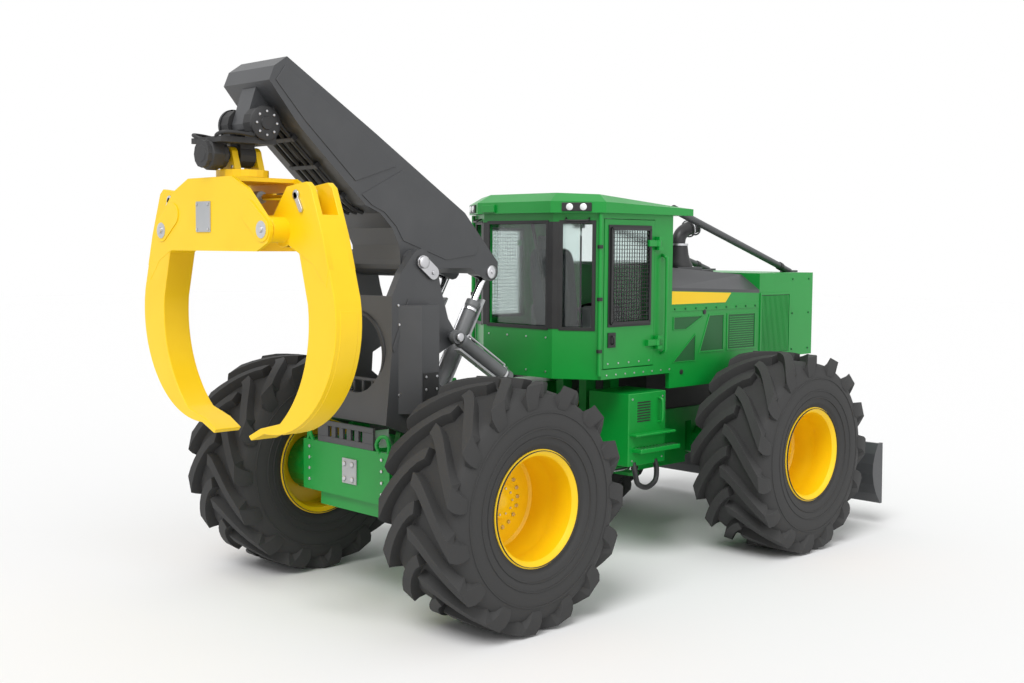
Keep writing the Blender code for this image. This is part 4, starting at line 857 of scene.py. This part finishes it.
@dataclass
class Hood(Assembly):
    """Hood and cooling box dressing: stripe, grilles, latches, vents, exhaust and limb risers."""

    skin: float = 0.7803  # outer face of the side sheets, with the gap to what lies on them
    rear: float = -1.04
    length: float = 1.42
    crest: tuple[float, float] = (1.745, 1.65)
    side_top: tuple[float, float] = (1.517, 1.47)
    grille_x: tuple[float, float] = (0.42, 0.90)
    grille_z: tuple[float, float] = (0.87, 1.44)
    exhaust: tuple[float, float, float] = (-0.42, -0.38, 1.7285)

    def height(self, pair: tuple[float, float], x: float) -> float:
        """Height at x of an edge given at its two ends."""
        return pair[0] + (pair[1] - pair[0]) * (x - self.rear) / self.length

    def stripe(self) -> None:
        """Blank yellow band under the hood's edge, and the bolted green strip below it."""
        end = -0.10
        band = prism([(self.rear + 0.006, 1.392), (end - 0.09, 1.392),
                      (end, self.height(self.side_top, end) - 0.004),
                      (self.rear + 0.006, self.height(self.side_top, self.rear) - 0.004)], Axis.Y,
                      self.skin,
                      0.7835)
        self.add("side_bands", band.both(), YELLOW, "front_frame")
        strip = box((self.rear + 0.006, 0.36), (self.skin, 0.786), (1.325, 1.372))
        self.add("side_strips", strip.both(), GREEN, "front_frame", 0.002)
        bolts = bolt_heads([(x, 0.786, 1.348) for x in np.linspace(-0.98, 0.30, 9)], ACROSS, 0.010)
        corners = bolt_heads([(x, 0.78, z) for x in (0.97, 1.27) for z in (0.88, 1.25, 1.60)], ACROSS,
                             0.010)
        # Painted shade: the side bolt heads take the darker copy of the green paint.
        self.add("side_bolts", merged([bolts, corners]).both(), GREEN_PAINTED_SHADE, "front_frame")

    def vents(self) -> None:
        """Screened openings of the side sheets, each a dark plate behind slats inside a raised rim; the
        plates are painted shade, a darker copy of the green paint for the dark inside.
        """
        shapes = ([(-0.98, 0.86), (-0.66, 0.86), (-0.66, 1.10)],
                  [(-0.58, 0.94), (-0.22, 0.94), (-0.22, 1.27), (-0.44, 1.27)],
                  [(-0.14, 0.94), (0.30, 0.94), (0.30, 1.27), (-0.14, 1.27)],
                  [(-0.98, 1.16), (-0.80, 1.16), (-0.56, 1.27), (-0.98, 1.27)])
        plates, rims = [], []
        for outline in shapes:
            flat = np.asarray(outline, float)
            middle = flat.mean(axis=0)
            wider = middle + (flat - middle) * 1.10
            plates.append(prism(flat.tolist(), Axis.Y, self.skin, 0.7815))
            rims.append(ring_plate(wider.tolist(), flat.tolist(), Axis.Y, self.skin, 0.787))
        # Painted shade: the vent plates take a darker copy of the green paint to stand for the dark inside
        # of the openings.
        self.add("vent_shade_plates", merged(plates).both(), GREEN_PAINTED_SHADE, "front_frame")
        self.add("vent_rims", merged(rims).both(), GREEN, "front_frame", 0.002)
        rows = np.arange(0.96, 1.26, 0.022)
        starts = np.column_stack([np.full(len(rows), -0.12), np.full(len(rows), 0.783), rows])
        ends = starts + (0.40, 0, 0)
        slats = bars(starts, ends, np.array([0, 0, 0.004]), np.array([0, 0.002, 0]))
        self.add("vent_slats", slats.both(), GREEN, "front_frame")
        latches = [turned([(0, 0.024), (0.006, 0.024), (0.008, 0.014)], (x, 0.78, z), ACROSS, 24)
                   for x, z in ((-0.86, 0.76), (-0.52, 1.31), (0.06, 0.80))]
        self.add("round_latches", merged(latches).both(), BLACK, "front_frame")

    def grille(self) -> None:
        """Upright ribs in front of a dark plate, on both sides of the cooling box."""
        low, high = self.grille_x, self.grille_z
        plate = box((low[0] - 0.01, low[1] + 0.01), (0.7802, 0.7812), (high[0] - 0.01, high[1] + 0.01))
        self.add("grille_plates", plate.both(), BLACK, "front_frame")
        xs = np.arange(low[0], low[1], 0.022)
        starts = np.column_stack([xs, np.full(len(xs), 0.785), np.full(len(xs), high[0])])
        ribs = bars(starts, starts + (0, 0, high[1] - high[0]), np.array([0.006, 0, 0]),
                    np.array([0, 0.005, 0]))
        self.add("grille_ribs", ribs.both(), GREEN, "front_frame")
        rim = ring_plate(oblong((low[0] - 0.03, high[0] - 0.03), (low[1] + 0.02, high[1] + 0.03)),
                         oblong((low[0] - 0.008, high[0] - 0.006), (low[1] + 0.004, high[1] + 0.006)),
                         Axis.Y, self.skin, 0.790)
        self.add("grille_rims", rim.both(), GREEN, "front_frame", 0.002)

    def top(self) -> None:
        """Two louvred vents let into the hood's crest."""
        blocks, slats = [], []
        for x0, x1 in ((-0.98, -0.66), (-0.14, 0.26)):
            z = self.height(self.crest, (x0 + x1) / 2)
            blocks.append(box((x0, x1), (-0.30, 0.30), (z - 0.02, z + 0.014)))
            xs = np.arange(x0 + 0.03, x1 - 0.01, 0.032)
            starts = np.column_stack([xs, np.full(len(xs), -0.28), np.full(len(xs), z + 0.018)])
            slats.append(bars(starts, starts + (0, 0.56, 0), np.array([0.009, 0, 0.004]),
                              np.array([0, 0, 0.003])))
        self.add("top_vents", merged(blocks), BLACK, "front_frame", 0.003)
        self.add("top_slats", merged(slats), CHARCOAL, "front_frame")

    def stack(self) -> None:
        """Exhaust: a flared heat shield, a clamp and a bent pipe with an open mouth."""
        x, y, z = self.exhaust
        bell = turned([(0, 0.02), (0, 0.14), (0.02, 0.14), (0.05, 0.122), (0.12, 0.100), (0.21, 0.088),
                       (0.22, 0.02)],
                      (x, y, z), UP, 40)
        path = spline([(x, y, z + 0.18), (x, y, z + 0.24), (x + 0.03, y, z + 0.31),
                       (x + 0.12, y, z + 0.362),
                       (x + 0.26, y, z + 0.395)], 8)
        self.add("exhaust_pipe", merged([bell, tube(path, 0.066, 28)]), BLACK, "front_frame", 0.0,
                 ("exhaust_stack",))
        lean = path[-1] - path[-2]
        mouth = turned([(0.004, 0.05), (0.006, 0.058), (0.001, 0.062), (-0.01, 0.062)], path[-1], lean, 32)
        self.add("exhaust_mouth", mouth, CAST, "front_frame")
        unit = lean / np.linalg.norm(lean)
        hoops = [torus(0.080, 0.008, path[-1] + unit * along, lean, 40, 10) for along in (-0.11, -0.02)]
        clamp = turned([(0, 0.076), (0, 0.094), (0.02, 0.094), (0.02, 0.076)], (x, y, z + 0.205), UP, 40,
                       True)
        self.add("exhaust_bands", merged([*hoops, clamp]), STEEL, "front_frame")

    def risers(self) -> None:
        """Limb risers: bent tubes from the roof's front to feet on the cooling box, with clamp sleeves."""
        foot = (1.285, 1.6655)
        path = spline([(-0.819, 0.62, 2.252), (-0.76, 0.62, 2.252), (-0.66, 0.615, 2.225),
                       (0.9, 0.545, 1.785),
                       (1.22, 0.53, 1.69), (foot[0], 0.53, foot[1] + 0.005)], 8)
        plate = box((foot[0] - 0.07, foot[0] + 0.05), (0.46, 0.60), (foot[1], foot[1] + 0.02))
        for side, s in SIDES.items():
            self.add(f"riser_tube_{side}", merged([tube(path, 0.034, 20), plate]).on(s), CHARCOAL,
                     "front_frame",
                     0.003, (f"limb_riser_{side}",))
            sleeve = [turned([(0, 0.042), (0.05, 0.042)], path[k], path[k + 1] - path[k], 24)
                      for k in (10, 26)]
            self.add(f"riser_sleeves_{side}", merged(sleeve).on(s), BLACK, "front_frame", 0.003)

    def build(self) -> None:
        """Makes the hood's pieces."""
        self.stripe()
        self.vents()
        self.grille()
        self.top()
        self.stack()
        self.risers()


@dataclass
class Arch(Assembly):
    """Arch dressing: fairlead with its rollers and guard bars, pin plates and access covers."""

    rear: float = -0.361
    eye_z: float = 1.056
    eye: float = 0.315

    def build(self) -> None:
        """Makes the arch's pieces."""
        lip = turned([(0.0, self.eye - 0.006), (0.0, self.eye + 0.03), (0.016, self.eye + 0.022),
                      (0.016, self.eye - 0.001)], (self.rear, 0, self.eye_z), OUTWARD_REAR, 64, closed=True)
        self.add("fairlead_lip", lip, BLACK, "arch", 0.003)
        x = self.rear + 0.085
        rollers = [turned([(0, 0.014), (0, 0.034), (0.62, 0.034), (0.62, 0.014)], (x, y, self.eye_z - 0.31),
                          UP, 28) for y in (-0.245, 0.245)]
        self.add("fairlead_rollers", merged(rollers), STEEL, "arch")
        ears = [box((self.rear + 0.03, x + 0.04), (y - 0.045, y + 0.045), (z - 0.012, z + 0.012))
                for y in (-0.245, 0.245) for z in (self.eye_z - 0.322, self.eye_z + 0.322)]
        self.add("roller_brackets", merged(ears), CHARCOAL, "arch", 0.003)
        inside = self.rear + 0.055
        grid = [tube([(inside, -0.355, 0.845), (inside, 0.355, 0.845)], 0.016)]
        grid += [tube([(inside - 0.005, y, 0.715), (inside - 0.005, y, 0.85)], 0.014)
                 for y in (-0.12, 0.0, 0.12)]
        self.add("guard_bars", merged(grid), CHARCOAL, "arch")
        cover = box((-0.135, 0.015), (0.529, 0.540), (0.66, 0.92))
        self.add("access_covers", cover.both(), BLACK, "arch", 0.003)
        bolts = [(x0, 0.540, z) for x0 in (-0.115, -0.005) for z in (0.69, 0.79, 0.89)]
        bolts += [(x0, 0.420, z) for x0, z in ((-0.29, 0.75), (-0.29, 1.30), (-0.30, 1.45))]
        self.add("cover_bolts", bolt_heads(bolts, ACROSS, 0.011).both(), STEEL, "arch")
        plate = prism(slotted((-0.063, 1.784), (0.045, 1.70), 0.055), Axis.Y, 0.4305, 0.446)
        ends = [turned([(0, 0.050), (0.018, 0.050), (0.024, 0.040)], (-0.063, 0.445, 1.784), ACROSS, 32),
                pin_end((0.24, 0.541, 1.185), ACROSS),
                turned([(0, 0.018), (0.010, 0.018)], (0.045, 0.446, 1.70), ACROSS, 20)]
        self.add("pin_plates", merged([plate, *ends]).both(), STEEL, "arch", 0.003)
        rib = prism([(-0.34, 1.08), (-0.20, 1.45), (-0.20, 1.50), (-0.36, 1.12)], Axis.Y, 0.419, 0.428)
        self.add("arch_ribs", rib.both(), CHARCOAL, "arch", 0.002)


@dataclass
class Boom(Assembly):
    """Boom dressing: side doublers, pin caps and the hydraulic lines under it."""

    half: float = 0.30

    def build(self) -> None:
        """Makes the boom's pieces."""
        crook = [(-0.56, 2.30), (-0.46, 2.22), (-0.34, 2.17), (-0.22, 2.06), (-0.15, 1.95), (0.30, 1.80),
                 (0.62, 1.84), (0.66, 1.92), (0.46, 2.13), (-0.16, 2.50)]
        tip = [(-1.25, 3.20), (-1.33, 3.09), (-1.08, 2.82), (-0.62, 2.40), (-0.22, 2.53), (-0.45, 2.70)]
        plates = [prism(outline, Axis.Y, self.half - 0.001, self.half + 0.006) for outline in (crook, tip)]
        self.add("boom_doublers", merged(plates).both(), CHARCOAL, "boom", 0.002)
        cap = turned([(0, 0.055), (0.014, 0.055), (0.020, 0.045), (0.020, 0.018), (0.026, 0.016)],
                     (0.81, self.half - 0.001, 1.697), ACROSS, 32)
        self.add("boom_pin_caps", cap.both(), STEEL, "boom")
        lines = []
        for y in (-0.13, -0.05, 0.05, 0.13):
            lines.append(tube(spline([(-0.42, y, 2.165), (-0.56, y, 2.225), (-0.80, y, 2.44),
                                      (-1.10, y, 2.715),
                                      (-1.20, y, 2.83), (-1.24, y, 2.92)], 8), 0.016))
        self.add("boom_lines", merged(lines), HOSE, "boom")
        along, out = np.array([-0.737, 0.0, 0.676]), np.array([0.676, 0.0, 0.737])
        starts = np.array([-0.56, -0.17, 2.228]) + along * np.array([[0.10], [0.42], [0.70]])
        clamps = bars(starts, starts + (0, 0.34, 0), along * 0.02, out * 0.022)
        self.add("line_clamps", clamps, BLACK, "boom", 0.003)


@dataclass
class Grapple(Assembly):
    """Hanging grapple: crosshead caps, head plate and pins, and smooth curved tongs."""

    x: float = -1.42
    pin: tuple[float, float] = (0.673, 2.014)

    def crosshead(self) -> None:
        """Bolted hub caps across the boom and the cap of the lower hinge."""
        cross = (-1.36, 2.785)
        hub = turned([(0, 0.125), (0.022, 0.125), (0.030, 0.110), (0.030, 0.05), (0.040, 0.045)],
                     (cross[0], 0.199, cross[1]), ACROSS, 40)
        self.add("crosshead_hubs", hub.both(), BLACK, "crosshead")
        ring = bolt_heads(circle((cross[0], 0.229, cross[1]), 0.085, 8, Axis.Y).tolist(), ACROSS, 0.010)
        self.add("crosshead_bolts", ring.both(), STEEL, "crosshead")
        cap = turned([(0, 0.105), (0.02, 0.115), (0.10, 0.115), (0.12, 0.085), (0.145, 0.06)],
                     (-1.62, 0, 2.555), OUTWARD_REAR, 8)
        self.add("hinge_cap", cap, CAST, "crosshead", 0.006)
        loops = [tube(spline([(-1.66, 0.08 * k, 2.655), (-1.715, 0.13 * k, 2.68), (-1.70, 0.20 * k, 2.70),
                              (-1.60, 0.235 * k, 2.70), (-1.50, 0.235 * k, 2.69),
                              (-1.44, 0.19 * k, 2.70)], 8),
                      0.014) for k in (1, -1)]
        self.add("crosshead_hoses", merged(loops), HOSE, "crosshead")

    def head(self) -> None:
        """Blank plate with its bolts, pin ends and the edge flanges of the head."""
        face = self.x - 0.28
        plate = box((face - 0.010, face + 0.001), (-0.02, 0.17), (2.00, 2.22))
        self.add("blank_plate", plate, PALE_GREY_AND_HIGHLIGHT, "grapple_head", 0.003)
        bolts = bolt_heads([(face - 0.010, y, z) for y in (0.0, 0.15) for z in (2.02, 2.20)],
                           OUTWARD_REAR, 0.010)
        y, z = self.pin
        ends = []
        for side in (1, -1):
            for out in (1, -1):
                ends.append(turned([(0, 0.060), (0.012, 0.060), (0.016, 0.046), (0.016, 0.024),
                                    (0.028, 0.022)],
                                   (self.x + out * 0.279, side * y, z), (out, 0, 0), 32))
        self.add("head_pins", merged([bolts, *ends]), STEEL, "grapple_head")
        flange = prism(slotted((y, z), (y - 0.16, z + 0.12), 0.085), Axis.X, face - 0.008, face + 0.001)
        front = prism(slotted((y, z), (y - 0.16, z + 0.12), 0.085), Axis.X, self.x + 0.279, self.x + 0.288)
        self.add("head_doublers", merged([flange, front]).both(), YELLOW, "grapple_head", 0.003)

    def tong(self, side: str) -> None:
        """A tong: one thick curved plate, two cheeks round the cylinder's eye, and its sleeve."""
        y, z = self.pin
        outer = arc((0.45, 1.39), 0.825, 12, -92, 56)
        tip = [(0.25, 0.50), (0.22, 0.53), (0.37, 0.60)]
        inner = arc((0.05, 1.38), 0.915, -52, 8, 36)
        root = [(0.86, 1.85)] + arc(self.pin, 0.12, -60, -180, 16)
        blade = [(1.075, 2.115), (1.13, 1.98), *outer, *tip, *inner, *root, (0.56, 2.115)]
        cheek = [(0.72, 2.31), (0.95, 2.337), (1.0, 2.30), (1.13, 1.98), (1.20, 1.75), (1.17, 1.62),
                 (1.02, 1.78),
                 *root[1:], (0.56, 2.12)]
        parts = [prism(blade, Axis.X, self.x - 0.11, self.x + 0.11)]
        parts += [prism(cheek, Axis.X, self.x + low, self.x + low + 0.048) for low in (-0.113, 0.065)]
        parts.append(turned([(-0.245, 0.046), (-0.245, 0.09), (0.245, 0.09), (0.245, 0.046)],
                            (self.x, y, z), (1, 0, 0), 36, closed=True))
        edge = [prism(arc((0.45, 1.39), 0.828, 6, -80, 40) + arc((0.45, 1.39), 0.815, -80, 6, 40), Axis.X,
                      self.x - 0.075, self.x + 0.075)]
        self.add(f"curved_tong_{side}", merged(parts + edge).on(SIDES[side]), YELLOW, f"tong_{side}", 0.006,
                 (f"tong_{side}",))
        ends = [pin_end((self.x + out * 0.112, 0.841, 2.25), (out, 0, 0)) for out in (1, -1)]
        lug = prism(slotted((0.841, 2.25), (0.90, 2.15), 0.020), Axis.X, self.x - 0.128, self.x - 0.112)
        self.add(f"tong_pins_{side}", merged([*ends, lug]).on(SIDES[side]), STEEL, f"tong_{side}", 0.002)

    def build(self) -> None:
        """Makes the grapple's pieces."""
        self.crosshead()
        self.head()
        for side in SIDES:
            self.tong(side)
        ear_bolts = [(self.x - 0.126, y, 2.47) for y in (-0.07, 0.07)]
        self.add("ear_bolts", bolt_heads(ear_bolts, OUTWARD_REAR, 0.013), STEEL, "rotator")


@dataclass
class Cylinder(Assembly):
    """A pair of hydraulic cylinders: smooth hollow barrels with ports, and chromed rods."""

    name: str
    base: tuple[float, float, float]
    eye: tuple[float, float, float]
    pin: tuple[float, float, float]
    barrel: float
    rod: float
    share: float
    closing: float
    finish: Finish
    guarded: bool = False

    def build(self) -> None:
        """Makes the two barrels and the two rods, in line from the base pin to the rod's eye."""
        base, eye, pin = (np.array(v) for v in (self.base, self.eye, self.pin))
        reach = float(np.linalg.norm(eye - base))
        unit = (eye - base) / reach
        mouth = reach * self.share
        body = turned([(0.045, 0.01), (0.045, self.barrel), (0.060, self.barrel + 0.004),
                       (0.075, self.barrel),
                       (mouth - 0.05, self.barrel), (mouth - 0.05, self.barrel + 0.006),
                       (mouth, self.barrel + 0.006),
                       (mouth, self.rod + 0.001), (0.08, self.rod + 0.001), (0.08, 0.01)], base, unit, 36)
        lug = eye_ring(base, pin)
        side = np.cross(unit, pin)
        line = [base + unit * a + side * (self.barrel + b) for a, b in
                ((0.10, -0.005), (0.10, 0.022), (mouth - 0.09, 0.022), (mouth - 0.09, -0.005))]
        pipe = tube(np.array(line), 0.009)
        start = 0.08 + self.closing
        rod = turned([(start, self.rod), (reach - 0.045, self.rod)], base, unit, 32)
        tip = eye_ring(eye, pin)
        band = turned([(mouth - 0.09, self.barrel + 0.002), (mouth - 0.09, self.barrel + 0.009),
                       (mouth - 0.07, self.barrel + 0.009), (mouth - 0.07, self.barrel + 0.002)], base,
                       unit, 36,
                      closed=True)
        for side_name, s in SIDES.items():
            barrel_body, rod_body = (f"{self.name}_cylinder_{part}_{side_name}"
                                     for part in ("barrel", "rod"))
            self.add(f"{self.name}_barrel_{side_name}", merged([body, lug]).on(s), self.finish,
                     barrel_body, 0.0,
                     (barrel_body,))
            if self.guarded:
                ends = [base + unit * a - side * (self.barrel + 0.022) for a in (0.06, mouth + 0.06)]
                guard = bars(ends[0][None], ends[1][None], pin * 0.036, side * 0.010)
                # The guard's pale grey is a painted highlight: a dark-grey guard plate shown lit brightly
                # along its face.
                self.add(f"{self.name}_guard_{side_name}", guard.on(s), PALE_GREY_AND_HIGHLIGHT, barrel_body, 0.003)
            self.add(f"{self.name}_pipe_{side_name}", merged([pipe, band]).on(s), STEEL, barrel_body)
            self.add(f"{self.name}_rod_{side_name}", merged([rod, tip]).on(s), CHROME, rod_body, 0.0,
                     (rod_body,))


# origin, name, base, eye, pin axis, barrel and rod radius, barrel's share, closing, finish, guard
CYLINDERS = (
    Cylinder(REAR, "arch", (0.24, 0.50, 1.185), (1.06, 0.50, 0.66), ACROSS, 0.055, 0.032, 0.70, 0.04,
             MID_GREY, True),
    Cylinder(REAR, "boom", (0.22, 0.235, 0.665), (0.81, 0.235, 1.697), ACROSS, 0.055, 0.032, 0.76, 0.03,
             MID_GREY, True),
    Cylinder(FRONT, "blade", (1.05, 0.30, 0.65), (1.33, 0.30, -0.30), ACROSS, 0.045, 0.025, 0.58, 0.33,
             BLACK),
    Cylinder(WORLD, "steering", (-0.725, 0.50, 0.815), (0.695, 0.50, 0.815), UP, 0.045, 0.025, 0.58, 0.365,
             BLACK),
)


@dataclass
class Steps(Assembly):
    """Step boxes on both sides with a tread, a rubber loop step, a vent and a grab handle."""

    x: tuple[float, float] = (-1.69, -1.17)
    y: tuple[float, float] = (0.381, 0.85)
    z: tuple[float, float] = (-0.03, 0.62)

    def build(self) -> None:
        """Makes the steps' pieces."""
        x0, x1 = self.x
        for side, s in SIDES.items():
            shell = box(self.x, self.y, self.z)
            tread = box((x0 + 0.06, x1 + 0.10), (0.83, 0.95), (0.09, 0.13))
            lip = box((x0 + 0.02, x1 + 0.06), (0.80, 0.93), (0.24, 0.262))
            self.add(f"step_box_{side}", merged([shell, tread, lip]).on(s), GREEN, "front_frame", 0.008,
                     (f"side_tank_{side}",))
            loop = tube(spline([(x0 + 0.09, 0.835, 0.0), (x0 + 0.09, 0.86, -0.09),
                                (x0 + 0.12, 0.868, -0.19),
                                (x0 + 0.24, 0.87, -0.235), (x0 + 0.36, 0.868, -0.19),
                                (x0 + 0.39, 0.86, -0.09),
                                (x0 + 0.39, 0.835, 0.0)], 8), 0.024, 16)
            self.add(f"loop_step_{side}", loop.on(s), HOSE, "front_frame")
            slots = [box((x0 + 0.12, x0 + 0.30), (0.849, 0.853), (z, z + 0.012))
                     for z in np.arange(0.36, 0.55, 0.024)]
            self.add(f"step_vent_{side}", merged(slots).on(s), BLACK, "front_frame")
            grab = tube(spline([(x1 - 0.10, 0.84, 0.34), (x1 - 0.10, 0.885, 0.35), (x1 - 0.10, 0.895, 0.40),
                                (x1 - 0.10, 0.895, 0.50), (x1 - 0.10, 0.885, 0.55),
                                (x1 - 0.10, 0.84, 0.56)]), 0.012)
            self.add(f"step_grab_{side}", grab.on(s), GREEN, "front_frame")
            xs = np.arange(x0 + 0.09, x1 + 0.08, 0.045)
            starts = np.column_stack([xs, np.full(len(xs), 0.86), np.full(len(xs), 0.132)])
            grip = bars(starts, starts + (0, 0.08, 0), np.array([0.006, 0, 0]), np.array([0, 0, 0.003]))
            bolts = bolt_heads([(x, 0.85, z) for x in (x0 + 0.05, x1 - 0.05) for z in (0.02, 0.57)],
                               ACROSS, 0.010)
            self.add(f"step_grip_{side}", merged([grip, bolts]).on(s), STEEL, "front_frame")


@dataclass
class Tail(Assembly):
    """Rear bumper dressing: bolted hitch plate, bolt rows, slotted guard and tie hooks."""

    face: float = -0.50

    def build(self) -> None:
        """Makes the tail's pieces."""
        plate = box((self.face - 0.014, self.face + 0.001), (-0.16, 0.02), (0.03, 0.23))
        self.add("hitch_plate", plate, PALE_GREY_AND_HIGHLIGHT, "rear_frame", 0.004)
        bolts = bolt_heads([(self.face - 0.014, y, z) for y in (-0.12, -0.02) for z in (0.07, 0.19)],
                           OUTWARD_REAR,
                           0.020)
        rows = bolt_heads([(self.face, y, z) for y in (0.47, -0.47) for z in np.arange(0.0, 0.29, 0.09)],
                          OUTWARD_REAR, 0.014)
        self.add("bumper_bolts", merged([bolts, rows]), STEEL, "rear_frame")
        depth = (self.face, self.face + 0.025)
        rails = [box(depth, (-0.36, 0.36), (0.3255, 0.375)), box(depth, (-0.36, 0.36), (0.460, 0.50))]
        rails += [box(depth, (y - 0.026, y + 0.026), (0.375, 0.460)) for y in (-0.15, -0.05, 0.05, 0.15)]
        rails += [box(depth, span, (0.375, 0.460)) for span in ((-0.36, -0.224), (0.224, 0.36))]
        self.add("slotted_guard", merged(rails), CHARCOAL, "rear_frame", 0.003)
        hook = tube(spline([(self.face + 0.02, 0.43, 0.30), (self.face - 0.02, 0.43, 0.38),
                            (self.face - 0.01, 0.46, 0.44), (self.face + 0.02, 0.50, 0.44),
                            (self.face + 0.03, 0.52, 0.38), (self.face + 0.02, 0.52, 0.30)], 6), 0.016)
        self.add("tie_hooks", hook.both(), GREEN, "rear_frame")


def dress_nodes(nodes: dict[str, bpy.types.Object]) -> None:
    """Gives every carried CAD node its finish."""
    for finish, names in NODE_FINISHES.items():
        for name in names:
            nodes[name].data.materials.clear()
            nodes[name].data.materials.append(finish.material())


def main() -> None:
    """Builds the studio and each sub-assembly in order."""
    logging.basicConfig(level=logging.INFO, format="%(message)s")
    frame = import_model()
    Studio().build()
    dress_nodes(frame["nodes"])
    for end in ("front", "rear"):
        for side in SIDES:
            Wheel(end, side).build()
    Cab(FRONT).build()
    Hood(FRONT).build()
    Steps(FRONT).build()
    Arch(REAR).build()
    Boom(REAR).build()
    Grapple(REAR).build()
    Tail(REAR).build()
    for cylinder in CYLINDERS:
        cylinder.build()


if __name__ == "__main__":
    main()
